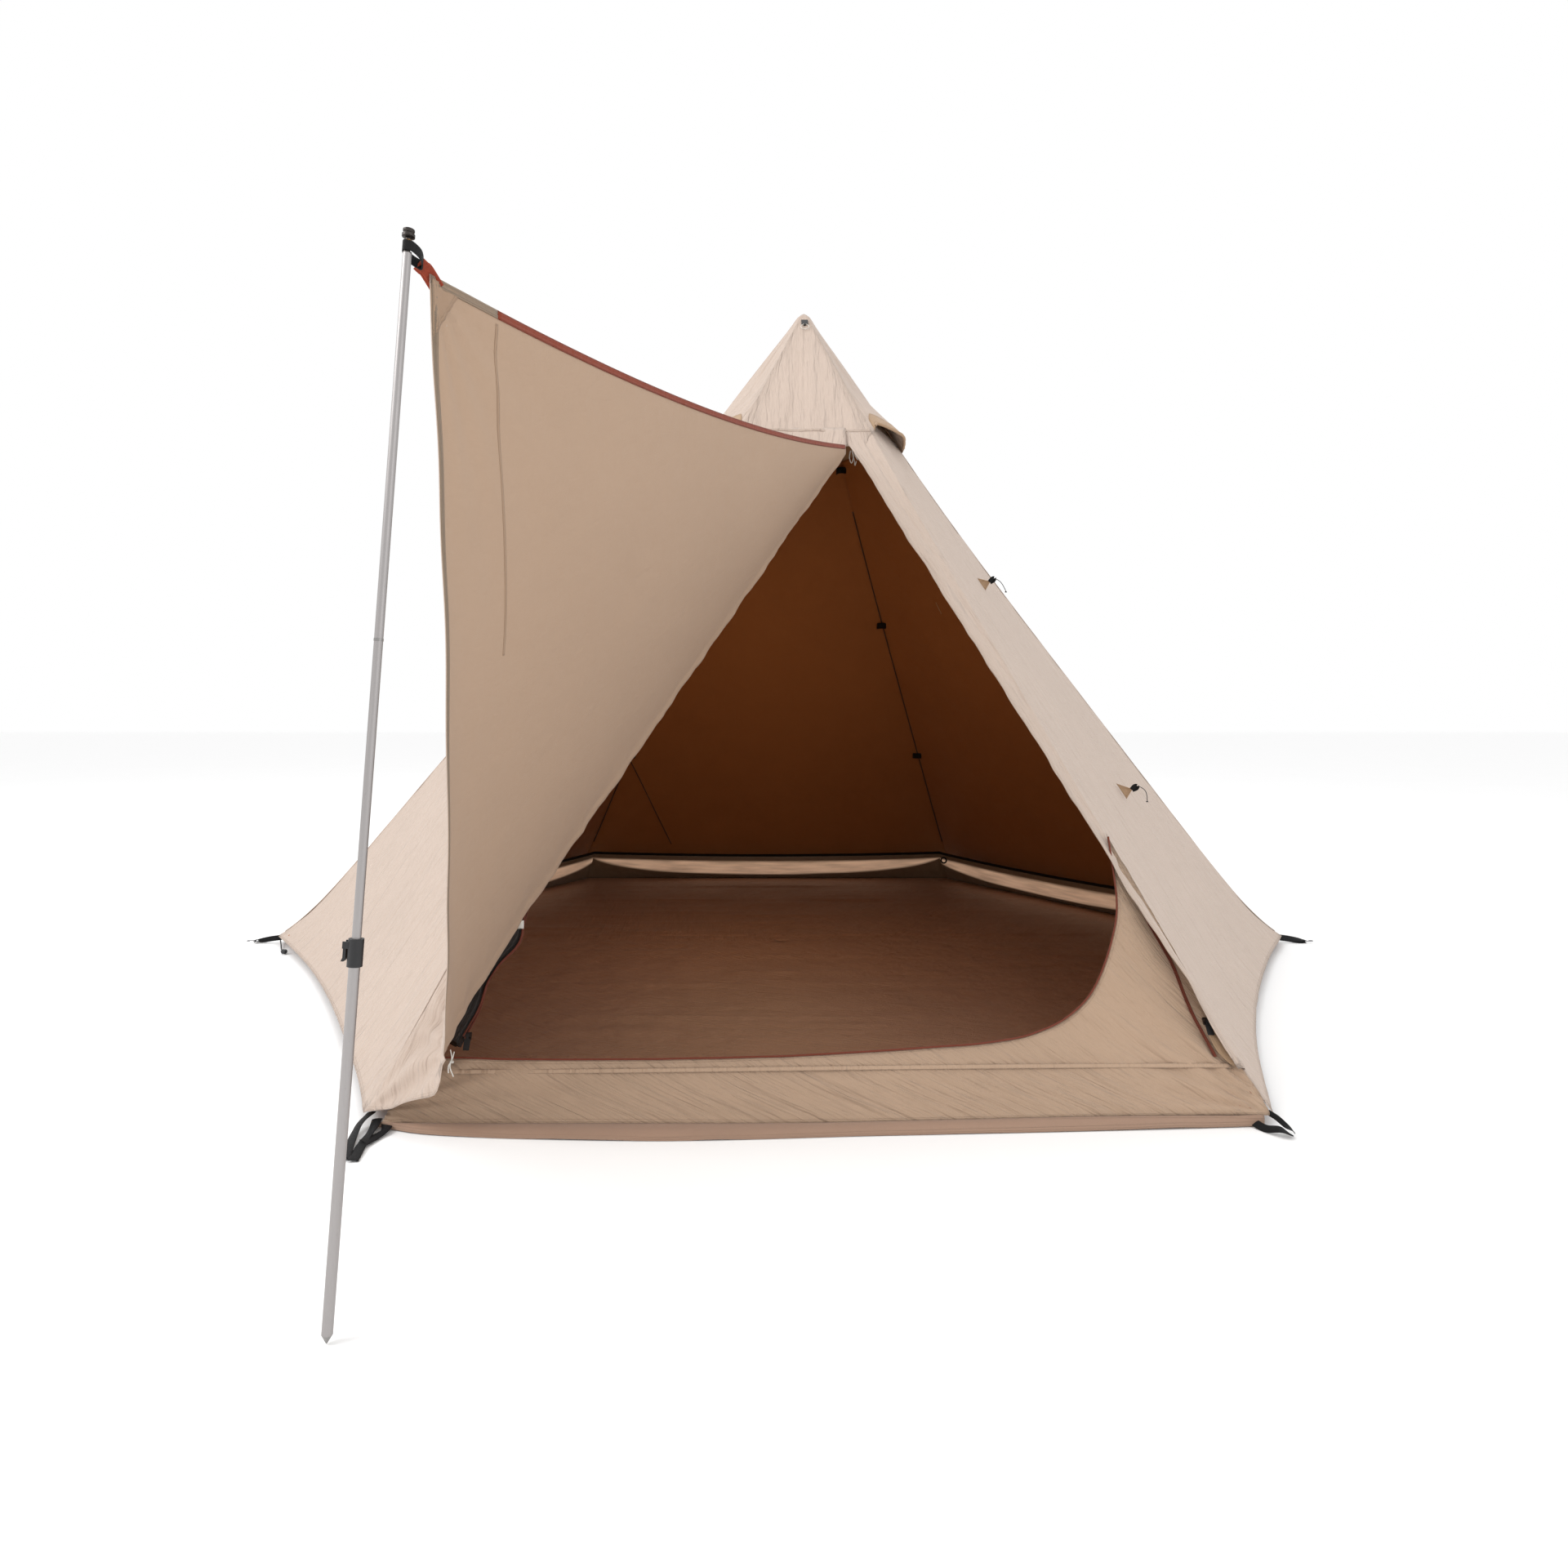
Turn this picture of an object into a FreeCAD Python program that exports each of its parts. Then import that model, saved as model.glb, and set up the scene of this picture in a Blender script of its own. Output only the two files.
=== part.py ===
"""Six-sided one-room tepee tent with its door panel raised as an awning on a telescopic pole.

Millimetres. +Z is up, the door faces -Y, and the origin is the middle of the groundsheet's underside.
"""

import FreeCAD, Part
import math
import os
import Sketcher

Vector = FreeCAD.Vector
Placement = FreeCAD.Placement
Rotation = FreeCAD.Rotation

SIZES = {
    # tent body
    "front_half_width": 1000.0,
    "side_half_width": 2000.0,
    "back_half_width": 1080.0,
    "front_depth": 1732.0,
    "back_depth": 1690.0,
    "peak_height": 2500.0,
    "peak_lean": 95.0,
    "hem_height": 27.0,
    "seam_sag": 64.0,
    "front_seam_share": 0.3,
    "hem_bow": 55.0,
    "fabric_thickness": 2.0,
    "seam_gap": 3.0,
    # peak cap and vents
    "cap_offset": 5.0,
    "hood_reach": 62.0,
    # tub floor
    "floor_thickness": 2.0,
    "floor_share": 0.925,
    "tub_top_share": 0.882,
    "tub_height": 150.0,
    # door
    "door_corner_radius": 340.0,
    "piping_radius": 3.0,
    # forked pole
    "leg_spread": 1700.0,
    "hub_height": 2420.0,
    "leg_radius": 14.0,
    "leg_wall": 1.0,
    "ferrule_length": 200.0,
    "foot_radius": 20.0,
    "socket_radius": 18.0,
    "socket_length": 95.0,
    "socket_floor": 20.0,
    "hub_radius": 24.0,
    # awning pole
    "lower_tube_radius": 8.0,
    "upper_tube_radius": 6.5,
    "tube_wall": 1.0,
    "spike_length": 13.0,
    "lower_tube_top": 560.0,
    "middle_tube_start": 450.0,
    "section_joint": 1008.0,
    "upper_tube_top": 1586.0,
    "clamp_start": 535.0,
    "clamp_length": 40.0,
    "clamp_radius": 11.0,
    "clamp_step": 25.1,
    "pin_radius": 1.5,
    # webbing and small fittings
    "strap_width": 25.0,
    "strap_thickness": 2.0,
    "loop_height": 15.0,
    "loop_span": 30.0,
    "hook_wire": 1.5,
    "hook_bend": 5.0,
    "hook_shank": 20.0,
    "guy_cord_diameter": 2.5,
}

DOC = FreeCAD.newDocument("tepee_tent")
SHEET = DOC.addObject("Spreadsheet::Sheet", "Sizes")
for row, (alias, value) in enumerate(SIZES.items(), start=1):
    SHEET.set(f"A{row}", alias)
    SHEET.set(f"B{row}", str(value))
    SHEET.setAlias(f"B{row}", alias)
DOC.recompute()

KEPT = []


def size(alias):
    return float(SHEET.get(alias))


def keep(thing, label):
    thing.Label = label
    KEPT.append(thing)
    return thing


def bind(thing, **expressions):
    for name, expression in expressions.items():
        thing.setExpression(name, expression)
    return thing


def aim(position, direction):
    """Placement at a position with the piece's own Z axis along a direction."""
    return Placement(position, Rotation(Vector(0, 0, 1), direction))


# ---------------------------------------------------------------- body, sketch and primitive helpers

def new_body(label, placement=None):
    body = keep(DOC.addObject("PartDesign::Body", label), label)
    if placement:
        body.Placement = placement
    return body


def new_sketch(body, name, role="XY_Plane"):
    sketch = body.newObject("Sketcher::SketchObject", f"{body.Name}_{name}")
    plane = next(item for item in body.Origin.OriginFeatures if item.Role == role)
    sketch.AttachmentSupport = [(plane, "")]
    sketch.MapMode = "FlatFace"
    return sketch


def add_circle(sketch, radius):
    """Circle on the sketch's origin, its radius bound to an expression."""
    circle = sketch.addGeometry(Part.Circle(Vector(), Vector(0, 0, 1), 1.0), False)
    sketch.addConstraint(Sketcher.Constraint("Coincident", circle, 3, -1, 1))
    constraint = sketch.addConstraint(Sketcher.Constraint("Radius", circle, 1.0))
    sketch.setExpression(f"Constraints[{constraint}]", radius)


def add_outline(sketch, points):
    for start, end in zip(points, points[1:] + points[:1]):
        sketch.addGeometry(Part.LineSegment(Vector(*start, 0), Vector(*end, 0)), False)


def add_slot(sketch, reach, half_width):
    """Stadium outline from the origin to (reach, 0)."""
    sketch.addGeometry(Part.LineSegment(Vector(0, half_width), Vector(reach, half_width)), False)
    sketch.addGeometry(Part.LineSegment(Vector(0, -half_width), Vector(reach, -half_width)), False)
    for centre, start in ((0.0, 0.5 * math.pi), (reach, 1.5 * math.pi)):
        circle = Part.Circle(Vector(centre, 0), Vector(0, 0, 1), half_width)
        sketch.addGeometry(Part.ArcOfCircle(circle, start, start + math.pi), False)


def add_pad(body, sketch, length, name="pad"):
    pad = body.newObject("PartDesign::Pad", f"{body.Name}_{name}")
    pad.Profile = sketch
    pad.setExpression("Length", length)
    sketch.Visibility = False
    return pad


def tube_body(label, outer, inner, length, placement):
    body = new_body(label, placement)
    sketch = new_sketch(body, "ring")
    add_circle(sketch, outer)
    add_circle(sketch, inner)
    add_pad(body, sketch, length)
    return body


def primitive(kind, name, position=Vector(), direction=Vector(0, 0, 1), **expressions):
    thing = DOC.addObject(f"Part::{kind}", name)
    bind(thing, **expressions)
    thing.Placement = aim(position, direction)
    return thing


def box(name, low, high, frame=Placement()):
    thing = DOC.addObject("Part::Box", name)
    thing.Length = high[0] - low[0]
    thing.Width = high[1] - low[1]
    thing.Height = high[2] - low[2]
    thing.Placement = frame * Placement(Vector(*low), Rotation())
    return thing


def fused(name, shapes, placement=None):
    thing = DOC.addObject("Part::MultiFuse", name)
    thing.Shapes = shapes
    if placement:
        thing.Placement = placement
    return thing


def cut(name, base, tool, placement=None):
    thing = DOC.addObject("Part::Cut", name)
    thing.Base = base
    thing.Tool = tool
    if placement:
        thing.Placement = placement
    return thing


def group(name, members):
    """Several separate solids that make up one sewn or bought set."""
    thing = DOC.addObject("Part::Compound", name)
    thing.Links = members
    return thing


def shaped(label, shape):
    """Sewn fabric piece, whose curved sheet no sketch or primitive can hold."""
    thing = DOC.addObject("Part::Feature", label)
    thing.Shape = shape
    thing.Placement = Placement()
    return keep(thing, label)


# ---------------------------------------------------------------- the tent's outline

PEAK = Vector(size("peak_lean"), 0, size("peak_height"))
HEM = size("hem_height")
CLOTH = size("fabric_thickness")

CORNERS = {
    "front_left": Vector(-size("front_half_width"), -size("front_depth"), HEM),
    "front_right": Vector(size("front_half_width"), -size("front_depth"), HEM),
    "right": Vector(size("side_half_width"), 0, HEM),
    "back_right": Vector(size("back_half_width"), size("back_depth"), HEM),
    "back_left": Vector(-size("back_half_width"), size("back_depth"), HEM),
    "left": Vector(-size("side_half_width"), 0, HEM),
}
RING = list(CORNERS)


def mix(start, end, share):
    return start + (end - start) * share


def flat(point):
    return Vector(point.x, point.y, 0)


def seam(corner, down):
    """Point on a corner seam. down runs from 0 at the peak to 1 at the peg loop."""
    foot = CORNERS[corner]
    sag = size("seam_sag") * (1 - math.exp(-(down / 0.25) ** 2)) * (1 - down ** 30)
    if corner.startswith("front"):
        sag *= size("front_seam_share")
    return mix(PEAK, foot, down) - flat(foot).normalize() * sag


def face_normal(left, right):
    return (CORNERS[right] - PEAK).cross(CORNERS[left] - PEAK).normalize() * -1


def face_point(left, right, down, across):
    """Point on a tent face. The hem of the face is cut to a shallow arc."""
    start = seam(left, down)
    end = seam(right, down)
    inward = flat(mix(CORNERS[left], CORNERS[right], 0.5)).normalize() * -1
    bow = size("hem_bow") * 4 * across * (1 - across) * down ** 8
    return mix(start, end, across) + inward * bow


def sheet_solid(rows, direction, thickness=CLOTH):
    """Curved sheet through a grid of points, given its thickness along one direction."""
    surface = Part.BSplineSurface()
    surface.interpolate(rows)
    return surface.toShape().extrude(direction * thickness)


def plate(points, direction, thickness=CLOTH):
    return Part.Face(Part.makePolygon(points + points[:1])).extrude(direction * thickness)


def spaced(low, high, count):
    return [low + (high - low) * step / (count - 1) for step in range(count)]


def face_sheet(left, right, downs, lift=0.0, columns=5):
    """Panel of one tent face, stopping short of both corner seams."""
    normal = face_normal(left, right)
    rows = []
    for down in downs:
        width = (seam(right, down) - seam(left, down)).Length
        inset = size("seam_gap") / width
        across = spaced(inset, 1 - inset, columns)
        rows.append([face_point(left, right, down, share) + normal * lift for share in across])
    return sheet_solid(rows, normal * -1)


# ---------------------------------------------------------------- fixed wall panels

PANEL_TOP = 0.205
PANEL_DOWNS = [PANEL_TOP, 0.235, 0.27, 0.35, 0.5, 0.65, 0.8, 0.9, 0.96, 1.0]
SIDE_FACES = {
    "right_front": ("front_right", "right"),
    "right_back": ("right", "back_right"),
    "back": ("back_right", "back_left"),
    "left_back": ("back_left", "left"),
    "left_front": ("left", "front_left"),
}

for side, (left, right) in SIDE_FACES.items():
    shaped(f"panel_{side}", face_sheet(left, right, PANEL_DOWNS))

# The front face is flat, so its pieces are drawn on it: x along the hem, s up the slope from the hem.
SLOPE_RUN = size("front_depth")
SLOPE_RISE = size("peak_height") - HEM
SLOPE = math.hypot(SLOPE_RUN, SLOPE_RISE)
UP_SLOPE = Vector(0, SLOPE_RUN / SLOPE, SLOPE_RISE / SLOPE)
FRONT_NORMAL = Vector(1, 0, 0).cross(UP_SLOPE)
FRONT_TURN = Rotation(Vector(1, 0, 0), UP_SLOPE, FRONT_NORMAL, "ZXY")


def on_front(across, up, out=0.0):
    return Vector(across, -SLOPE_RUN, HEM) + UP_SLOPE * up + FRONT_NORMAL * out


def front_frame(across, up, out=0.0):
    return Placement(on_front(across, up, out), FRONT_TURN)


def front_edge(side, up):
    """x of the straight corner seam on the front face at a height up the slope."""
    foot = side * size("front_half_width")
    return foot + (size("peak_lean") - foot) * up / SLOPE


SILL_UP = 150.0
DOOR_RADIUS = size("door_corner_radius")
DOOR_CURVE_X = 430.0
DOOR_TOP_X = 222.0
DOOR_TOP_UP = 2231.0
DOOR_SIDE_UP = 679.0
SEAM_INSET = 8.0
PANEL_OVERLAP = 32.0
DOOR_TOP = on_front(DOOR_TOP_X, DOOR_TOP_UP)
FOOT_LEFT = CORNERS["front_left"]


def front_body(label, out=0.0):
    return new_body(label, front_frame(0, 0, out))


sill = front_body("front_sill")
sketch = new_sketch(sill, "outline")
add_outline(sketch, [
    (front_edge(-1, 1) + PANEL_OVERLAP, 1.0),
    (front_edge(1, 1) - SEAM_INSET, 1.0),
    (front_edge(1, SILL_UP) - SEAM_INSET, SILL_UP - 1),
    (front_edge(-1, SILL_UP) + PANEL_OVERLAP, SILL_UP - 1),
])
add_pad(sill, sketch, "Sizes.fabric_thickness")

# wall right of the round door corner
wall = front_body("front_wall_right")
sketch = new_sketch(wall, "outline")
curve_end = DOOR_CURVE_X + DOOR_RADIUS
side_edge = front_edge(1, DOOR_SIDE_UP) - SEAM_INSET
seam_low = front_edge(1, SILL_UP) - SEAM_INSET
corner_circle = Part.Circle(Vector(DOOR_CURVE_X, SILL_UP + DOOR_RADIUS), Vector(0, 0, 1), DOOR_RADIUS)
sketch.addGeometry(Part.ArcOfCircle(corner_circle, 1.5 * math.pi, 2 * math.pi), False)
turns = [
    (curve_end, SILL_UP + DOOR_RADIUS),
    (side_edge, DOOR_SIDE_UP),
    (seam_low, SILL_UP),
    (DOOR_CURVE_X, SILL_UP),
]
for start, end in zip(turns, turns[1:]):
    sketch.addGeometry(Part.LineSegment(Vector(*start), Vector(*end)), False)
add_pad(wall, sketch, "Sizes.fabric_thickness")

# flap that carries the outer door zip, from the top of the door to the right-hand corner
flap = front_body("door_zip_flap", out=5.0)
FLAP_LOW = (905.0, 115.0)
FLAP_MIDDLE = (742.0, 720.0)
sketch = new_sketch(flap, "outline")
add_outline(sketch, [
    (DOOR_TOP_X, DOOR_TOP_UP),
    FLAP_MIDDLE,
    FLAP_LOW,
    (front_edge(1, FLAP_LOW[1]) - SEAM_INSET, FLAP_LOW[1]),
    (front_edge(1, DOOR_TOP_UP) - SEAM_INSET, DOOR_TOP_UP),
])
add_pad(flap, sketch, "Sizes.fabric_thickness")


# ---------------------------------------------------------------- awning panel

CREASE_BOW = 60.0
FOLD_FOOT = Vector(-795, -1842, 170)
FOLD_LEAD = 14
FOLD_GAP = 15.0


def crease(share):
    """Fold where the raised door panel turns back from the tent: share 0 at the door top, 1 at the hem."""
    point = mix(DOOR_TOP, FOOT_LEFT, share)
    point = point + Vector(CREASE_BOW * share ** 1.5 * (1 - share ** 12), 0, 0)
    return point + (FOLD_FOOT - FOOT_LEFT) * share ** FOLD_LEAD


def eased(low, high, value):
    """Smooth step from 0 to 1 between two values."""
    share = min(max((value - low) / (high - low), 0.0), 1.0)
    return share * share * (3 - 2 * share)


def strip_row(share):
    height = crease(share).z
    down = (size("peak_height") - height) / SLOPE_RISE
    down += (1 - down) * eased(0.9, 1.0, share)
    start = seam("front_left", min(down, 1.0)) + Vector(size("seam_gap"), 0, 0)
    end = crease(share) - Vector(FOLD_GAP, 0, 0)
    return [mix(start, end, across) for across in spaced(0, 1, 3)]


shaped("front_wall_left", sheet_solid([strip_row(share) for share in spaced(0, 1, 9)], FRONT_NORMAL * -1))

AWNING_TIP = Vector(-655, -2372, 1576)
EDGE_SAG = 52.0
HEM_ROUTE = [
    FOLD_FOOT,
    Vector(-768, -1905, 310),
    Vector(-722, -2050, 720),
    Vector(-683, -2211, 1142),
    AWNING_TIP,
]
BILLOW = 28.0
AWNING_NORMAL = (AWNING_TIP - DOOR_TOP).cross(FOOT_LEFT - DOOR_TOP).normalize()
if AWNING_NORMAL.z < 0:
    AWNING_NORMAL = AWNING_NORMAL * -1


def free_edge(share):
    """Taut zip edge of the awning: share 0 at the door top, 1 at the raised corner."""
    return mix(DOOR_TOP, AWNING_TIP, share) - Vector(0, 0, EDGE_SAG * 4 * share * (1 - share))


hem_curve = Part.BSplineCurve()
hem_curve.interpolate(HEM_ROUTE)
hem_length = hem_curve.length()


def hem_point(share):
    return hem_curve.value(hem_curve.parameterAtDistance(share * hem_length))


def awning_point(share, across):
    straight = mix(crease(share), free_edge(share), across)
    pull = hem_point(across) - mix(FOLD_FOOT, AWNING_TIP, across)
    billow = AWNING_NORMAL * (-BILLOW * 16 * share * (1 - share) * across * (1 - across))
    return straight + pull * share ** 5 + billow


BINDING_WIDTH = 14.0
AWNING_SHARES = [0.04, 0.15, 0.3, 0.45, 0.6, 0.72, 0.83, 0.92, 1.0]
awning_rows = []
for share in AWNING_SHARES:
    width = (free_edge(share) - crease(share)).Length
    rim = 1 - (BINDING_WIDTH + 1) / width
    awning_rows.append([awning_point(share, across) for across in spaced(5 / width, rim, 7)])
shaped("awning_panel", sheet_solid(awning_rows, AWNING_NORMAL))

binding_rows = []
for share in spaced(0.05, 0.985, 9):
    width = (free_edge(share) - crease(share)).Length
    inner = awning_point(share, 1 - BINDING_WIDTH / width)
    binding_rows.append([mix(inner, free_edge(share), across) for across in (0.0, 0.5, 1.0)])
shaped("awning_edge_binding", sheet_solid(binding_rows, AWNING_NORMAL, 3.0))

# apron that hides the gap between the front hem and the ground
APRON_EDGE = [
    Vector(-975, -1742, 0),
    Vector(-800, -1790, 0),
    Vector(-350, -1814, 0),
    Vector(100, -1790, 0),
    Vector(541, -1768, 0),
    Vector(975, -1742, 0),
]
hem_line = Part.LineSegment(Vector(-975, -1735, HEM - 3), Vector(975, -1735, HEM - 3)).toShape()
apron_curve = Part.BSplineCurve()
apron_curve.interpolate(APRON_EDGE)
apron_face = Part.makeRuledSurface(hem_line, apron_curve.toShape())
shaped("front_apron", apron_face.extrude(Vector(0, 0, CLOTH)))


# ---------------------------------------------------------------- peak cap, vent hoods and vent mesh

CAP_TIP = 0.014
CAP_HEM = 0.236
FRONT_CAP_HEM = 0.262
HOOD_START = 0.165
HOOD_HEM = 0.252
HOODED = ("right_front", "left_front")
LIFT = size("cap_offset")

gores = []
for side, (left, right) in {"front": ("front_left", "front_right"), **SIDE_FACES}.items():
    hem = FRONT_CAP_HEM if side == "front" else CAP_HEM
    if side in HOODED:
        hem = HOOD_START - 0.003
    gore = DOC.addObject("Part::Feature", f"cap_gore_{side}")
    gore.Shape = face_sheet(left, right, spaced(CAP_TIP, hem, 5), LIFT, 3)
    gores.append(gore)
keep(group("peak_cap", gores), "peak_cap")

for side in HOODED:
    left, right = SIDE_FACES[side]
    normal = face_normal(left, right)
    outward = flat(normal).normalize()
    rows = []
    for flare in spaced(0, 1, 4):
        down = HOOD_START + (HOOD_HEM - HOOD_START) * flare
        row = []
        for across in spaced(0.02, 0.98, 9):
            reach = size("hood_reach") * math.sin(math.pi * across) * flare
            row.append(face_point(left, right, down, across) + normal * LIFT + outward * reach)
        rows.append(row)
    shaped(f"vent_hood_{side.split('_')[0]}", sheet_solid(rows, normal * -1))

meshes = []
for side in HOODED:
    left, right = SIDE_FACES[side]
    mesh = DOC.addObject("Part::Feature", f"vent_mesh_{side}")
    mesh.Shape = face_sheet(left, right, spaced(HOOD_START - 0.004, PANEL_TOP - 0.002, 3), 0.0, 3)
    meshes.append(mesh)
keep(group("vent_mesh", meshes), "vent_mesh")


# ---------------------------------------------------------------- tub groundsheet

FLOOR = size("floor_thickness")
FRONT_FLOOR = Vector(955, -1680, 0)
FRONT_TUB_TOP = Vector(900, -1600, 0)


def tub_corner(corner, share, height):
    """Corner of the tub. The front corners reach forward to the door sill."""
    foot = CORNERS[corner]
    if corner.startswith("front"):
        place = FRONT_TUB_TOP if height > FLOOR + 1 else FRONT_FLOOR
        return Vector(math.copysign(place.x, foot.x), place.y, height)
    return Vector(foot.x * share, foot.y * share, height)


floor_body = new_body("groundsheet_floor")
sketch = new_sketch(floor_body, "outline")
floor_ring = [tub_corner(corner, size("floor_share"), 0) for corner in RING]
add_outline(sketch, [(point.x, point.y) for point in floor_ring])
add_pad(floor_body, sketch, "Sizes.floor_thickness")

TUB_INSET = 4.0
walls = []
for side, (left, right) in SIDE_FACES.items():
    quad = []
    levels = ((FLOOR + 0.2, size("floor_share") - 0.003), (size("tub_height"), size("tub_top_share")))
    for height, share in levels:
        start = tub_corner(left, share, height)
        end = tub_corner(right, share, height)
        along = (end - start).normalize() * TUB_INSET
        quad.append((start + along, end - along))
    corners = [quad[0][0], quad[0][1], quad[1][1], quad[1][0]]
    middle = (corners[0] + corners[1]) * 0.5
    wall = DOC.addObject("Part::Feature", f"tub_wall_{side}")
    lows = [mix(corners[0], corners[1], share) for share in spaced(0, 1, 4)]
    highs = [mix(corners[3], corners[2], share) for share in spaced(0, 1, 4)]
    rows = [[mix(low, high, share) for share in spaced(0, 1, 3)] for low, high in zip(lows, highs)]
    wall.Shape = sheet_solid(rows, flat(middle).normalize() * -1)
    walls.append(wall)
keep(group("groundsheet_wall", walls), "groundsheet_wall")


# ---------------------------------------------------------------- inner door: rolled mesh, piping

roll_low = on_front(-880, 185, -80)
roll_high = on_front(-40, 2050, -75)
roll = primitive("Cone", "mesh_door_roll", roll_low, roll_high - roll_low)
roll.Radius1 = 48
roll.Radius2 = 16
roll.Height = (roll_high - roll_low).Length
keep(roll, "mesh_door_roll")

PIPING_START = -880.0
piping = new_body("door_piping", front_frame(PIPING_START, SILL_UP, 6.0))
path = new_sketch(piping, "path")
sill_run = DOOR_CURVE_X - PIPING_START
path_turn = sill_run + DOOR_RADIUS
path.addGeometry(Part.LineSegment(Vector(), Vector(sill_run, 0)), False)
turn_circle = Part.Circle(Vector(sill_run, DOOR_RADIUS), Vector(0, 0, 1), DOOR_RADIUS)
path.addGeometry(Part.ArcOfCircle(turn_circle, 1.5 * math.pi, 2 * math.pi), False)
path_end = Vector(path_turn, DOOR_RADIUS + 90)
path.addGeometry(Part.LineSegment(Vector(path_turn, DOOR_RADIUS), path_end), False)
profile = new_sketch(piping, "section", "YZ_Plane")
add_circle(profile, "Sizes.piping_radius")
DOC.recompute()
sweep = piping.newObject("PartDesign::AdditivePipe", "door_piping_sweep")
sweep.Profile = profile
sweep.Spine = (path, ["Edge1", "Edge2", "Edge3"])


# ---------------------------------------------------------------- zip sliders and pulls

OUTER_SLIDER = (902.0, 197.0)
INNER_SLIDER = (-790.0, SILL_UP + 12.0)
SLIDER_HALF = 6.0
SLIDER_HEIGHT = 7.0
PULL_LENGTH = 34.0
PULL_HALF_WIDTH = 7.0
PULL_PIVOT = 10.6
NECK_HALF = 2.2
EAR_OFFSET = 5.0


def zip_slider(name, across, up, out):
    """Slider with a pull tab that hangs from a small pin across its bridge."""
    frame = front_frame(across, up, out)
    block = box(f"{name}_block", (-SLIDER_HALF, -8, 0), (SLIDER_HALF, 8, SLIDER_HEIGHT))
    ears = []
    for end in (-1, 1):
        low = (end * EAR_OFFSET - 1, -3, SLIDER_HEIGHT - 1)
        high = (end * EAR_OFFSET + 1, 3, PULL_PIVOT + 2.5)
        ears.append(box(f"{name}_ear_{end}", low, high))
    pin = primitive("Cylinder", f"{name}_pin", Vector(-EAR_OFFSET, 0, PULL_PIVOT), Vector(1, 0, 0),
                    Radius="Sizes.pin_radius")
    pin.Height = 2 * EAR_OFFSET
    keep(fused(name, [block, *ears, pin], frame), name)

    tab = box(f"{name}_tab", (-PULL_HALF_WIDTH, -PULL_LENGTH, PULL_PIVOT - 1),
              (PULL_HALF_WIDTH, -9.5, PULL_PIVOT + 1))
    neck = box(f"{name}_neck", (-3.5, -10, PULL_PIVOT - NECK_HALF), (3.5, NECK_HALF, PULL_PIVOT + NECK_HALF))
    hole = primitive("Cylinder", f"{name}_hole", Vector(-EAR_OFFSET, 0, PULL_PIVOT), Vector(1, 0, 0),
                     Radius="Sizes.pin_radius + 0.08")
    hole.Height = 2 * EAR_OFFSET
    body = fused(f"{name}_pull_blank", [tab, neck])
    pull = name.replace("slider", "pull")
    keep(cut(pull, body, hole, frame), pull)


zip_slider("outer_zip_slider", *OUTER_SLIDER, 8.2)
zip_slider("door_zip_slider", *INNER_SLIDER, 10.5)


# ---------------------------------------------------------------- guy-out points and corner bands

GUY_DOWNS = (0.456, 0.748)
GUSSET_HALF = 26.0
GUSSET_REACH = 34.0
gussets = []
tapes = []
for side, (left, right) in SIDE_FACES.items():
    normal = face_normal(left, right)
    for level, down in enumerate(GUY_DOWNS):
        root = face_point(left, right, down, 0.5) + normal * 1.0
        above = face_point(left, right, down - 0.01, 0.5)
        slope = (face_point(left, right, down + 0.01, 0.5) - above).normalize()
        across = normal.cross(slope).normalize()
        tip = root + normal * GUSSET_REACH + slope * 12
        fin = DOC.addObject("Part::Feature", f"gusset_{side}_{level}")
        fin.Shape = plate([root - slope * GUSSET_HALF, root + slope * GUSSET_HALF, tip], across)
        gussets.append(fin)
        frame = Placement(tip, Rotation(slope.cross(normal), slope, normal, "ZXY"))
        tapes.append(box(f"tape_{side}_{level}", (-3, -8, 0.5), (3, 8, 16), frame))
keep(group("guyout_gussets", gussets), "guyout_gussets")
keep(group("guyout_tapes", tapes), "guyout_tapes")

BAND_HEIGHTS = (1960.0, 1330.0, 700.0)
BAND_INSET = 34.0
bands = []
for corner in ("back_right", "back_left"):
    for height in BAND_HEIGHTS:
        down = (size("peak_height") - height) / SLOPE_RISE
        spot = seam(corner, down) - flat(CORNERS[corner]).normalize() * BAND_INSET
        frame = Placement(spot, Rotation(Vector(0, 1, 0), flat(CORNERS[corner]).normalize()))
        bands.append(box(f"band_{corner}_{int(height)}", (-20, -2, -14), (20, 2, 14), frame))
keep(group("corner_seam_bands", bands), "corner_seam_bands")


# ---------------------------------------------------------------- pegging straps and hooks

def strap_box(name, start, end):
    """Flat webbing from start to end, lying level across its width."""
    along = (end - start).normalize()
    side = Vector(0, 0, 1).cross(along).normalize()
    thing = DOC.addObject("Part::Box", name)
    thing.Length = (end - start).Length
    bind(thing, Width="Sizes.strap_width", Height="Sizes.strap_thickness")
    turn = Rotation(along, side, along.cross(side), "XYZ")
    thing.Placement = Placement(start - side * size("strap_width") / 2, turn)
    return thing


WIRE = size("hook_wire")
BEND = size("hook_bend")
HOOK_REACH = 92.0
HOOK_HEIGHT = 7.0
TIP_LENGTH = 7.0
EYE_END = -math.pi / 9
LINK_BACK = 6.0
LINK_RADIUS = 4.0


def hook_frame(corner):
    outward = flat(CORNERS[corner]).normalize()
    spot = flat(CORNERS[corner]) + outward * HOOK_REACH + Vector(0, 0, HOOK_HEIGHT)
    return Placement(spot, Rotation(Vector(1, 0, 0), outward))


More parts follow.
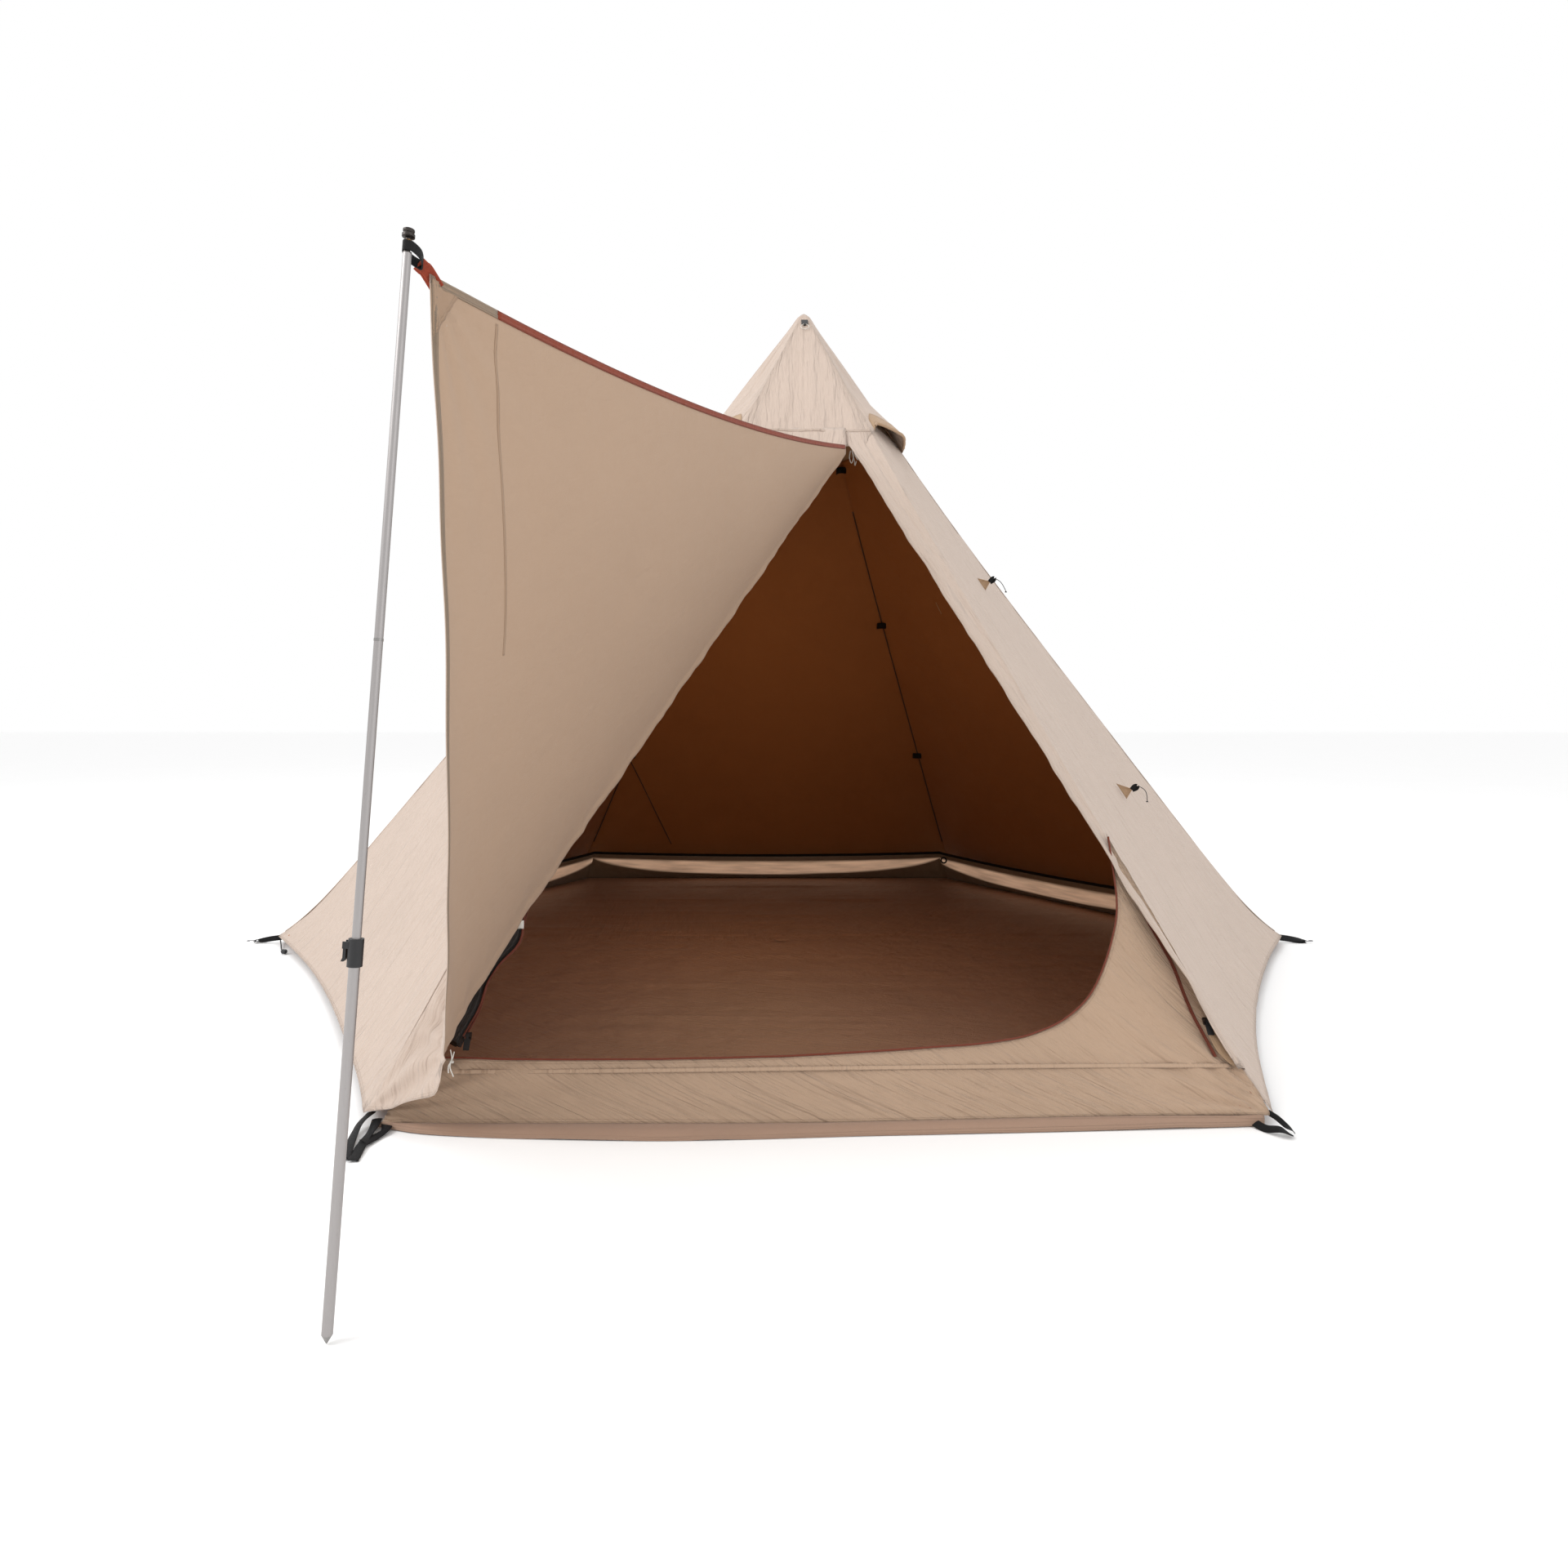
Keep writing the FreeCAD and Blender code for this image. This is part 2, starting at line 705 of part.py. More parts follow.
def peg_hook(label, corner):
    """Bent wire hook: crook at the outer end, shank, and an almost closed eye about the strap's bight."""
    hook = new_body(label, hook_frame(corner))
    reach = BEND + size("hook_shank")
    crook = Part.Circle(Vector(reach, 0), Vector(0, 0, 1), BEND)
    eye = Part.Circle(Vector(), Vector(0, 0, 1), BEND)
    path = new_sketch(hook, "path")
    path.addGeometry(Part.LineSegment(Vector(reach - TIP_LENGTH, BEND), Vector(reach, BEND)), False)
    path.addGeometry(Part.ArcOfCircle(crook, -0.5 * math.pi, 0.5 * math.pi), False)
    path.addGeometry(Part.LineSegment(Vector(reach, -BEND), Vector(0, -BEND)), False)
    path.addGeometry(Part.ArcOfCircle(eye, EYE_END, 1.5 * math.pi), False)
    section = new_sketch(hook, "section", "YZ_Plane")
    section.AttachmentOffset = Placement(Vector(BEND, 0, reach - TIP_LENGTH), Rotation())
    add_circle(section, "Sizes.hook_wire")
    DOC.recompute()
    wire = hook.newObject("PartDesign::AdditivePipe", f"{label}_wire")
    wire.Profile = section
    wire.Spine = (path, ["Edge1", "Edge2", "Edge3", "Edge4"])
    return hook


def peg_strap(name, corner):
    """Strap from the fly corner to the webbing bight that holds the hook's eye."""
    outward = flat(CORNERS[corner]).normalize()
    start = flat(CORNERS[corner]) + outward * 2 + Vector(0, 0, HEM - 6)
    frame = hook_frame(corner)
    bight = primitive("Torus", f"{name}_bight")
    bight.Radius1 = LINK_RADIUS
    bight.Radius2 = 1.2
    bight.Placement = frame * Placement(Vector(-LINK_BACK, 0, 0), Rotation(Vector(1, 0, 0), 90))
    end = frame.multVec(Vector(-LINK_BACK - LINK_RADIUS, 0, -1.0))
    return fused(name, [strap_box(f"{name}_webbing", start, end), bight])


for corner in ("right", "left"):
    keep(peg_strap(f"strap_{corner}", corner), f"strap_{corner}")
    peg_hook(f"hook_{corner}", corner)
back_straps = [peg_strap(f"strap_{corner}", corner) for corner in ("back_right", "back_left")]
keep(group("straps_back", back_straps), "straps_back")
for corner in ("back_right", "back_left"):
    peg_hook(f"hook_{corner}", corner)

front_left_end = Vector(-964, -1919, 0.3)
keep(strap_box("strap_front_left", FOOT_LEFT + Vector(2, -12, -6), front_left_end), "strap_front_left")
front_right_start = CORNERS["front_right"] + Vector(4, -9, -7)
keep(strap_box("strap_front_right", front_right_start, Vector(1030, -1795, 0.3)), "strap_front_right")


# ---------------------------------------------------------------- peak toggle and ring

TOGGLE_UP = 2940.0
RING_RADIUS = 16.0
RING_OUT = 13.5
toggle_frame = front_frame(size("peak_lean"), TOGGLE_UP, 0.0)
toggle_plate = box("toggle_plate", (-13, 0, 7), (13, 26, 14))
toggle_lug = box("toggle_lug", (-3, -8, 9), (3, 2, 18))
toggle_bore = primitive("Cylinder", "toggle_bore", Vector(-5, -3, RING_OUT), Vector(1, 0, 0))
toggle_bore.Radius = 2.2
toggle_bore.Height = 10
toggle_blank = fused("toggle_blank", [toggle_plate, toggle_lug])
keep(cut("peak_toggle", toggle_blank, toggle_bore, toggle_frame), "peak_toggle")
ring = primitive("Torus", "peak_ring")
ring.Radius1 = RING_RADIUS
ring.Radius2 = 1.5
ring.Placement = front_frame(size("peak_lean"), TOGGLE_UP - 3 - RING_RADIUS, RING_OUT)
keep(ring, "peak_ring")


# ---------------------------------------------------------------- forked pole inside the tent

HUB = Vector(size("peak_lean"), 0, size("hub_height"))
FOOT_RADIUS = size("foot_radius")
TUBE_START = 9.0
LEG_SIDES = {"right": 1, "left": -1}
ball_height = FLOOR + FOOT_RADIUS + 0.3
leg_run = math.hypot(size("leg_spread"), size("hub_height") - ball_height)
section = (leg_run - TUBE_START - size("socket_floor") - 0.5) / 3

SHEET.set("D1", str(section))
SHEET.setAlias("D1", "leg_section")
DOC.recompute()

feet = []
ferrules = []
socket_solids = [primitive("Sphere", "hub_ball", HUB, Radius="Sizes.hub_radius")]
socket_bores = []
for side, sign in LEG_SIDES.items():
    ball = Vector(size("peak_lean") + sign * size("leg_spread"), 0, ball_height)
    along = (HUB - ball).normalize()
    for step, level in enumerate(("lower", "middle", "upper")):
        tube_body(f"leg_{side}_{level}", "Sizes.leg_radius", "Sizes.leg_radius - Sizes.leg_wall",
                  "Sizes.leg_section", aim(ball + along * (TUBE_START + step * section), along))
    for step in (1, 2):
        middle = TUBE_START + step * section
        ferrules.append(primitive("Cylinder", f"ferrule_{side}_{step}",
                                  ball + along * (middle - size("ferrule_length") / 2), along,
                                  Radius="Sizes.leg_radius - Sizes.leg_wall - 0.1",
                                  Height="Sizes.ferrule_length"))
    foot_ball = primitive("Sphere", f"foot_ball_{side}", ball, Radius="Sizes.foot_radius")
    foot_cup = primitive("Cylinder", f"foot_cup_{side}", ball, along, Radius="Sizes.foot_radius - 1")
    foot_cup.Height = 55
    foot_bore = primitive("Cylinder", f"foot_bore_{side}", ball + along * (TUBE_START - 0.3), along,
                          Radius="Sizes.leg_radius + 0.1")
    foot_bore.Height = 60
    foot_blank = fused(f"foot_blank_{side}", [foot_ball, foot_cup])
    feet.append(cut(f"foot_{side}", foot_blank, foot_bore))
    socket_solids.append(primitive("Cylinder", f"socket_{side}", HUB, along * -1,
                                   Radius="Sizes.socket_radius", Height="Sizes.socket_length"))
    socket_bores.append(primitive("Cylinder", f"socket_bore_{side}", HUB - along * size("socket_floor"),
                                  along * -1, Radius="Sizes.leg_radius + 0.1", Height="Sizes.socket_length"))
keep(group("leg_ferrules", ferrules), "leg_ferrules")
keep(group("leg_feet", feet), "leg_feet")

SPINDLE_LENGTH = 48.0
spindle = primitive("Cylinder", "hub_spindle", HUB)
spindle.Radius = 8
spindle.Height = SPINDLE_LENGTH
crown = primitive("Sphere", "hub_crown", HUB + Vector(0, 0, SPINDLE_LENGTH))
crown.Radius = 11
hub_blank = fused("hub_blank", [*socket_solids, spindle, crown])
keep(cut("pole_hub", hub_blank, fused("hub_bores", socket_bores)), "pole_hub")


# ---------------------------------------------------------------- telescopic awning pole

POLE_FOOT = Vector(-768, -2478, 0)
POLE_TOP = Vector(-669, -2422, 1616)
POLE_AXIS = (POLE_TOP - POLE_FOOT).normalize()


def pole_frame(height):
    return aim(POLE_FOOT + POLE_AXIS * height, POLE_AXIS)


def pole_tube(label, radius, start, end, ahead=0.0):
    """Tube of the awning pole between two cells of the sheet, starting a little ahead of the first."""
    tube_body(label, f"Sizes.{radius}", f"Sizes.{radius} - Sizes.tube_wall",
              f"Sizes.{end} - Sizes.{start} - {ahead}", pole_frame(size(start) + ahead))


COLLAR = 4.0
pole_tube("awning_pole_lower", "lower_tube_radius", "spike_length", "lower_tube_top", ahead=0.1)
pole_tube("awning_pole_middle", "upper_tube_radius", "middle_tube_start", "section_joint")
pole_tube("awning_pole_upper", "upper_tube_radius", "section_joint", "upper_tube_top", ahead=COLLAR)

joint_core = primitive("Cylinder", "joint_core", Vector(0, 0, -50),
                       Radius="Sizes.upper_tube_radius - Sizes.tube_wall - 0.05")
joint_core.Height = 100
joint_ring = primitive("Cylinder", "joint_ring", Vector(0, 0, 0.1), Radius="Sizes.upper_tube_radius + 0.5")
joint_ring.Height = COLLAR - 0.2
joint_frame = pole_frame(size("section_joint"))
keep(fused("awning_pole_joint", [joint_core, joint_ring], joint_frame), "awning_pole_joint")

spike_point = primitive("Cone", "spike_point", Radius2="Sizes.lower_tube_radius",
                        Height="Sizes.spike_length")
spike_point.Radius1 = 0.8
spike_plug = primitive("Cylinder", "spike_plug", Vector(0, 0, size("spike_length") - 0.5),
                       Radius="Sizes.lower_tube_radius - Sizes.tube_wall - 0.05")
spike_plug.Height = 25
keep(fused("awning_pole_spike", [spike_point, spike_plug], pole_frame(0)), "awning_pole_spike")

# clamp: its lower bore grips the lower tube, its upper bore slides over the middle tube
LEVER_X = -14.5
LEVER_PIVOT = 31.0
shell = primitive("Cylinder", "clamp_shell", Radius="Sizes.clamp_radius", Height="Sizes.clamp_length")
EAR_IN = 5.3
EAR_OUT = 7.8
ears = []
for end in (-1, 1):
    near, far = sorted((end * EAR_IN, end * EAR_OUT))
    ears.append(box(f"clamp_ear_{end}", (LEVER_X - 2.5, near, LEVER_PIVOT - 5), (-7, far, LEVER_PIVOT + 5)))
pin = primitive("Cylinder", "clamp_pin", Vector(LEVER_X, -EAR_OUT, LEVER_PIVOT), Vector(0, 1, 0),
                Radius="Sizes.pin_radius")
pin.Height = 2 * EAR_OUT
grip_bore = primitive("Cylinder", "clamp_grip_bore", Vector(0, 0, -1),
                      Radius="Sizes.lower_tube_radius + 0.02", Height="Sizes.clamp_step + 1")
slide_bore = primitive("Cylinder", "clamp_slide_bore", Vector(0, 0, -1),
                       Radius="Sizes.upper_tube_radius + 0.4", Height="Sizes.clamp_length + 2")
clamp_blank = fused("clamp_blank", [shell, *ears, pin])
clamp_frame = pole_frame(size("clamp_start"))
clamp_bores = fused("clamp_bores", [grip_bore, slide_bore])
keep(cut("pole_clamp", clamp_blank, clamp_bores, clamp_frame), "pole_clamp")

lever_frame = clamp_frame * Placement(Vector(LEVER_X, 5.0, LEVER_PIVOT), Rotation(Vector(1, 0, 0), 90))
lever = new_body("clamp_lever", lever_frame)
sketch = new_sketch(lever, "profile")
add_circle(sketch, "Sizes.pin_radius + 0.08")
add_outline(sketch, [(-2.2, 2.4), (2.2, 2.4), (2.2, -20), (-0.5, -24), (-4.6, -24), (-2.2, -19)])
add_pad(lever, sketch, "10.0")

# finial: plug in the tube, pin for the webbing loop, collar and cap
finial = new_body("awning_finial", pole_frame(size("upper_tube_top")))
sketch = new_sketch(finial, "profile", "XZ_Plane")
add_outline(sketch, [
    (0, -30), (5.4, -30), (5.4, 0.1), (6.5, 0.1), (6.5, 2), (4, 2), (4, 19), (4.6, 19), (4.6, 22.5),
    (9.5, 25), (9.5, 29), (6.8, 31), (8.6, 33.5), (8.6, 36), (5, 37.5), (0, 37.5),
])
spin = finial.newObject("PartDesign::Revolution", "awning_finial_turned")
spin.Profile = sketch
spin.ReferenceAxis = (sketch, ["V_Axis"])
spin.Angle = 360

# webbing loop over the pin, and the sewn tab that joins it to the awning corner
toward = AWNING_TIP - POLE_FOOT
toward = (toward - POLE_AXIS * toward.dot(POLE_AXIS)).normalize()
loop_spot = POLE_FOOT + POLE_AXIS * (size("upper_tube_top") + 2.6)
loop_turn = Rotation(toward, POLE_AXIS.cross(toward), POLE_AXIS, "ZXY")
loop = new_body("awning_corner_loop", Placement(loop_spot, loop_turn))
sketch = new_sketch(loop, "band")
add_slot(sketch, size("loop_span"), 7.0)
add_slot(sketch, size("loop_span"), 5.0)
add_pad(loop, sketch, "Sizes.loop_height")

tab_start = loop_spot + toward * (size("loop_span") + 8.2) + POLE_AXIS * 7
tab = strap_box("awning_corner_tab", tab_start, AWNING_TIP + Vector(-2, -5, 5))
tab.setExpression("Width", "Sizes.strap_width * 0.8")
keep(tab, "awning_corner_tab")


# ---------------------------------------------------------------- short guy-cord tails

def cord_tube(label, points, diameter):
    """Tube of straight runs joined by the largest tangent arcs that its runs allow."""
    edges = []
    start = points[0]
    radii = []
    for before, corner, after in zip(points, points[1:], points[2:]):
        into = (corner - before).normalize()
        out = (after - corner).normalize()
        turn = into.getAngle(out)
        back = 0.45 * min((corner - before).Length, (after - corner).Length)
        radii.append(back / math.tan(turn / 2))
        first = corner - into * back
        last = corner + out * back
        bisector = (out - into).normalize()
        middle = corner + bisector * (radii[-1] / math.cos(turn / 2) - radii[-1])
        edges.append(Part.LineSegment(start, first).toShape())
        edges.append(Part.Arc(first, middle, last).toShape())
        start = last
    edges.append(Part.LineSegment(start, points[-1]).toShape())
    path = Part.Wire(edges)
    circle = Part.Circle(points[0], points[1] - points[0], diameter / 2)
    solid = path.makePipeShell([Part.Wire([circle.toShape()])], True, False)
    print(label, "radii", [round(radius, 1) for radius in radii],
          "volume ratio", round(solid.Volume / (path.Length * math.pi * diameter ** 2 / 4), 3))
    return shaped(label, solid)


GUY_TAIL_UPPER = [
    Vector(744, -413, 1390.5),
    Vector(757, -422, 1384),
    Vector(771, -427, 1364),
    Vector(778, -435, 1342),
]
GUY_TAIL_LOWER = [
    Vector(1149, -662, 670),
    Vector(1165, -673, 663),
    Vector(1174, -676, 644),
    Vector(1172, -682, 622),
]
cord_tube("guy_tail_upper", GUY_TAIL_UPPER, size("guy_cord_diameter"))
cord_tube("guy_tail_lower", GUY_TAIL_LOWER, size("guy_cord_diameter"))


# ---------------------------------------------------------------- check and write

DOC.recompute()
for thing in DOC.Objects:
    bad = [word for word in thing.State if word in ("Invalid", "Error")]
    if bad:
        raise RuntimeError(f"{thing.Label} failed: {bad}")
for thing in KEPT:
    shape = thing.Shape
    if shape.isNull() or not shape.isValid() or shape.Volume <= 0:
        raise RuntimeError(f"{thing.Label} has a bad shape")

os.makedirs("parts", exist_ok=True)
for thing in KEPT:
    thing.Shape.exportStep(f"parts/{thing.Label}.step")
print(len(KEPT), "nodes")
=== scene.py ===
import itertools
import math

import bpy
import numpy as np
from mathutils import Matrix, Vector


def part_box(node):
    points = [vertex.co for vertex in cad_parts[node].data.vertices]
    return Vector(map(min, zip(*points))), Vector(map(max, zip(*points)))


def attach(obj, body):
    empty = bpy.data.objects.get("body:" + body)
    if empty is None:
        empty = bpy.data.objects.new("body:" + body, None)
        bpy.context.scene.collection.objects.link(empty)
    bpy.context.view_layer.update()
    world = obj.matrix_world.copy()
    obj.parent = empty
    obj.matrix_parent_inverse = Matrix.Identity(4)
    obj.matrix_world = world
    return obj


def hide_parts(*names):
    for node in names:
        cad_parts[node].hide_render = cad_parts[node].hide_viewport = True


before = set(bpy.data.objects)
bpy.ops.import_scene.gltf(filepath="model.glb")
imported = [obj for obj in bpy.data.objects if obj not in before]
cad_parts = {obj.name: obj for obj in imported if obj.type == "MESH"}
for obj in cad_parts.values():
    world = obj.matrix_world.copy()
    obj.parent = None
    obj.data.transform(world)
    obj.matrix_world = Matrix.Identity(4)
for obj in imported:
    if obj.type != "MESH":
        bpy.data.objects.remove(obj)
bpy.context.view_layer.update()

# Six-sided tepee tent: curved fabric, webbing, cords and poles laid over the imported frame. Metres, +Z up.

scene = bpy.context.scene


# ---------------------------------------------------------------- numbers shared with the frame

def vec(*values):
    return np.array(values, float)


PEAK = vec(0.095, 0, 2.5)
HEM = 0.027
CORNERS = {
    "front_left": vec(-1.0, -1.732, HEM),
    "front_right": vec(1.0, -1.732, HEM),
    "right": vec(2.0, 0, HEM),
    "back_right": vec(1.08, 1.69, HEM),
    "back_left": vec(-1.08, 1.69, HEM),
    "left": vec(-2.0, 0, HEM),
}
SIDE_FACES = [
    ("front_right", "right"),
    ("right", "back_right"),
    ("back_right", "back_left"),
    ("back_left", "left"),
    ("left", "front_left"),
]
SEAM_SAG = 0.064
FRONT_SEAM_SHARE = 0.3
HEM_BOW = 0.055
CLOTH = 0.0018
FAR_FROM_EDGE = 0.02
PANEL_TOP = 0.205


# ---------------------------------------------------------------- vector helpers

def unit(v):
    return v / np.maximum(np.linalg.norm(v, axis=-1, keepdims=True), 1e-12)


def mix(start, end, share):
    share = np.asarray(share, float)[..., None]
    return start + (end - start) * share


def smooth(low, high, value):
    t = np.clip((value - low) / (high - low), 0, 1)
    return t * t * (3 - 2 * t)


def noise(p, seed=0):
    """Smooth value noise from -1 to 1 at points p, the same each run."""
    p = np.asarray(p, float)
    cell = np.floor(p).astype(np.int64)
    f = p - cell
    f = f * f * (3 - 2 * f)
    total = np.zeros(p.shape[:-1])
    for corner in itertools.product((0, 1), repeat=3):
        c = cell + np.array(corner)
        h = (c[..., 0] * 73856093) ^ (c[..., 1] * 19349663) ^ (c[..., 2] * 83492791) ^ (seed * 265443)
        h = h & 0xFFFFFFFF
        h = (h * 1664525 + 1013904223) & 0xFFFFFFFF
        h = h ^ (h >> 15)
        h = (h * 2246822519) & 0xFFFFFFFF
        h = h ^ (h >> 13)
        weight = np.ones(p.shape[:-1])
        for axis in range(3):
            weight = weight * (f[..., axis] if corner[axis] else 1 - f[..., axis])
        total += weight * (h / 2147483647.5 - 1)
    return total


def noise2(u, v, seed=0):
    u, v = np.broadcast_arrays(np.asarray(u, float), np.asarray(v, float))
    return noise(np.stack([u, v, np.full(u.shape, 0.37)], -1), seed)


def noise1(u, seed):
    return noise2(u, 0.0, seed)


def travel(line):
    """Distance along a line at each of its points."""
    return np.concatenate([[0], np.cumsum(np.linalg.norm(np.diff(line, axis=0), axis=1))])


def sample(want, run, line):
    """Points of a line at the wanted values of run."""
    return np.stack([np.interp(want, run, line[:, k]) for k in range(3)], -1)


def spline(points, count, closed=False):
    """Smooth line through points, evenly spaced along its length."""
    points = np.asarray(points, float)
    if closed:
        ring = np.concatenate([points[-1:], points, points[:2]])
    else:
        ring = np.concatenate([2 * points[:1] - points[1:2], points, 2 * points[-1:] - points[-2:-1]])
    dense = []
    t = np.linspace(0, 1, 24, endpoint=False)[:, None]
    for a, b, c, d in zip(ring, ring[1:], ring[2:], ring[3:]):
        dense.append(0.5 * (2 * b + (c - a) * t + (2 * a - 5 * b + 4 * c - d) * t ** 2
                            + (3 * b - a - 3 * c + d) * t ** 3))
    dense = np.concatenate(dense + [ring[-2][None]])
    run = travel(dense)
    return sample(np.linspace(0, run[-1], count), run, dense)


# ---------------------------------------------------------------- the tent's curved surfaces

def seam(corner, down):
    """Corner seam: 0 at the peak, 1 at the peg loop."""
    down = np.asarray(down, float)
    foot = CORNERS[corner]
    sag = SEAM_SAG * (1 - np.exp(-(down / 0.25) ** 2)) * (1 - np.clip(down, 0, 1) ** 30)
    if corner.startswith("front"):
        sag = sag * FRONT_SEAM_SHARE
    return PEAK + (foot - PEAK) * down[..., None] - unit(foot * vec(1, 1, 0)) * sag[..., None]


def face_normal(left, right):
    return -unit(np.cross(CORNERS[right] - PEAK, CORNERS[left] - PEAK))


def face_point(left, right, down, across):
    inward = -unit((CORNERS[left] + CORNERS[right]) * vec(1, 1, 0))
    bow = HEM_BOW * 4 * across * (1 - across) * down ** 8
    return mix(seam(left, down), seam(right, down), across) + inward * bow[..., None]


SLOPE_RUN = 1.732
SLOPE_RISE = 2.473
SLOPE = math.hypot(SLOPE_RUN, SLOPE_RISE)
UP_SLOPE = vec(0, SLOPE_RUN / SLOPE, SLOPE_RISE / SLOPE)
FRONT_NORMAL = vec(0, -SLOPE_RISE / SLOPE, SLOPE_RUN / SLOPE)


def on_front(x, s, out=0.0):
    x, s, out = (np.asarray(v, float)[..., None] for v in (x, s, out))
    return vec(1, 0, 0) * x + vec(0, -SLOPE_RUN, HEM) + UP_SLOPE * s + FRONT_NORMAL * out


def front_edge(side, s):
    return side * 1.0 + (PEAK[0] - side * 1.0) * s / SLOPE


# ---------------------------------------------------------------- mesh builders

def colour(*rgb):
    """Linear colour of an 8-bit sRGB one."""
    return tuple(((c / 255 + 0.055) / 1.055) ** 2.4 if c > 10 else c / 255 / 12.92 for c in rgb) + (1.0,)


def make_object(name, verts, faces, slots, face_slots=None, weave=None, edge=None, flat=False):
    mesh = bpy.data.meshes.new(name)
    mesh.from_pydata([tuple(v) for v in verts], [], [tuple(f) for f in faces])
    for key, values in (("weave", weave), ("edge", edge)):
        layer = mesh.uv_layers.new(name=key)
        if values is not None:
            layer.data.foreach_set("uv", np.asarray(values, np.float32).ravel())
    for material in slots:
        mesh.materials.append(material)
    if face_slots is not None:
        mesh.polygons.foreach_set("material_index", np.asarray(face_slots, np.int32))
    mesh.polygons.foreach_set("use_smooth", [not flat] * len(mesh.polygons))
    mesh.validate()
    thing = bpy.data.objects.new(name, mesh)
    scene.collection.objects.link(thing)
    return thing


def run_along(grid, axis):
    step = np.linalg.norm(np.diff(grid, axis=axis), axis=-1)
    pad = [(1, 0) if k == axis else (0, 0) for k in range(2)]
    return np.pad(np.cumsum(step, axis=axis), pad)


def metric(grid, sewn):
    """Metric coordinates of a patch, and the distance to and along its nearest sewn edge."""
    along = run_along(grid, 0)
    across = run_along(grid, 1)
    width = across[:, -1:]
    length = along[-1:, :]
    distances = {"left": across, "right": width - across, "top": along, "bottom": length - along}
    runs = {"left": along, "right": along, "top": across, "bottom": across}
    best = np.full(across.shape, 9.0)
    run = along.copy()
    for side in sewn:
        closer = distances[side] < best
        best = np.where(closer, distances[side], best)
        run = np.where(closer, runs[side], run)
    return np.stack([across - width / 2, along], -1), np.stack([best, run], -1)


def quads(values):
    return np.stack([values[:-1, :-1], values[1:, :-1], values[1:, 1:], values[:-1, 1:]], 2)


def grid_normals(grid, closed):
    down = np.gradient(grid, axis=0)
    if closed:
        across = np.roll(grid, -1, axis=1) - np.roll(grid, 1, axis=1)
    else:
        across = np.gradient(grid, axis=1)
    return unit(np.cross(down, across))


def cloth(name, patches, slots, sewn=("left", "right", "bottom"), thickness=CLOTH, facing=None, closed=False):
    """Sheet of cloth with two sides and a rim, through grids of points that share their side edges."""
    pairs = [metric(patch, sewn) for patch in patches]
    weave, edge = (np.concatenate([quads(pair[k]) for pair in pairs], 1).reshape(-1, 4, 2) for k in (0, 1))
    grid = np.concatenate([patches[0]] + [patch[:, 1:] for patch in patches[1:]], 1)
    if closed:
        grid = grid[:, :-1]
    normals = grid_normals(grid, closed)
    outward = facing if facing is not None else grid - vec(0, 0, 0.6)
    flip = float((normals * outward).sum()) < 0
    if flip:
        normals = -normals
    verts = np.concatenate([grid.reshape(-1, 3), (grid - normals * thickness).reshape(-1, 3)])
    count = grid.shape[0] * grid.shape[1]
    index = np.arange(count).reshape(grid.shape[:2])
    if closed:
        index = np.concatenate([index, index[:, :1]], 1)
    outer = quads(index[..., None])[..., 0].reshape(-1, 4)
    faces = [outer, outer[:, ::-1] + count]
    uvs = [weave, weave[:, ::-1]]
    near = [edge, edge[:, ::-1]]
    kinds = [np.zeros(len(outer), int), np.ones(len(outer), int)]
    rims = [(index[0][1:], index[0][:-1]), (index[-1][:-1], index[-1][1:])]
    if not closed:
        rims += [(index[:-1, 0], index[1:, 0]), (index[1:, -1], index[:-1, -1])]
    for first, second in rims:
        rim = np.stack([second, first, first + count, second + count], 1)
        faces.append(rim)
        uvs.append(np.zeros((len(rim), 4, 2)))
        near.append(np.full((len(rim), 4, 2), FAR_FROM_EDGE))
        kinds.append(np.zeros(len(rim), int))
    faces, uvs, near = (np.concatenate(values) for values in (faces, uvs, near))
    if flip:
        faces, uvs, near = faces[:, ::-1], uvs[:, ::-1], near[:, ::-1]
    return make_object(name, verts, faces, slots, np.concatenate(kinds), uvs.reshape(-1, 2), near.reshape(-1, 2))


def frames_along(line, closed=False):
    """Tangent and two cross directions that don't spin along a line."""
    if closed:
        tangent = unit(np.roll(line, -1, 0) - np.roll(line, 1, 0))
    else:
        tangent = unit(np.gradient(line, axis=0))
    side = np.cross(tangent[0], vec(0, 0, 1) if abs(tangent[0][2]) < 0.9 else vec(1, 0, 0))
    sides = []
    for t in tangent:
        side = unit(side - t * np.dot(side, t))
        sides.append(side)
    sides = np.array(sides)
    return tangent, sides, np.cross(tangent, sides)


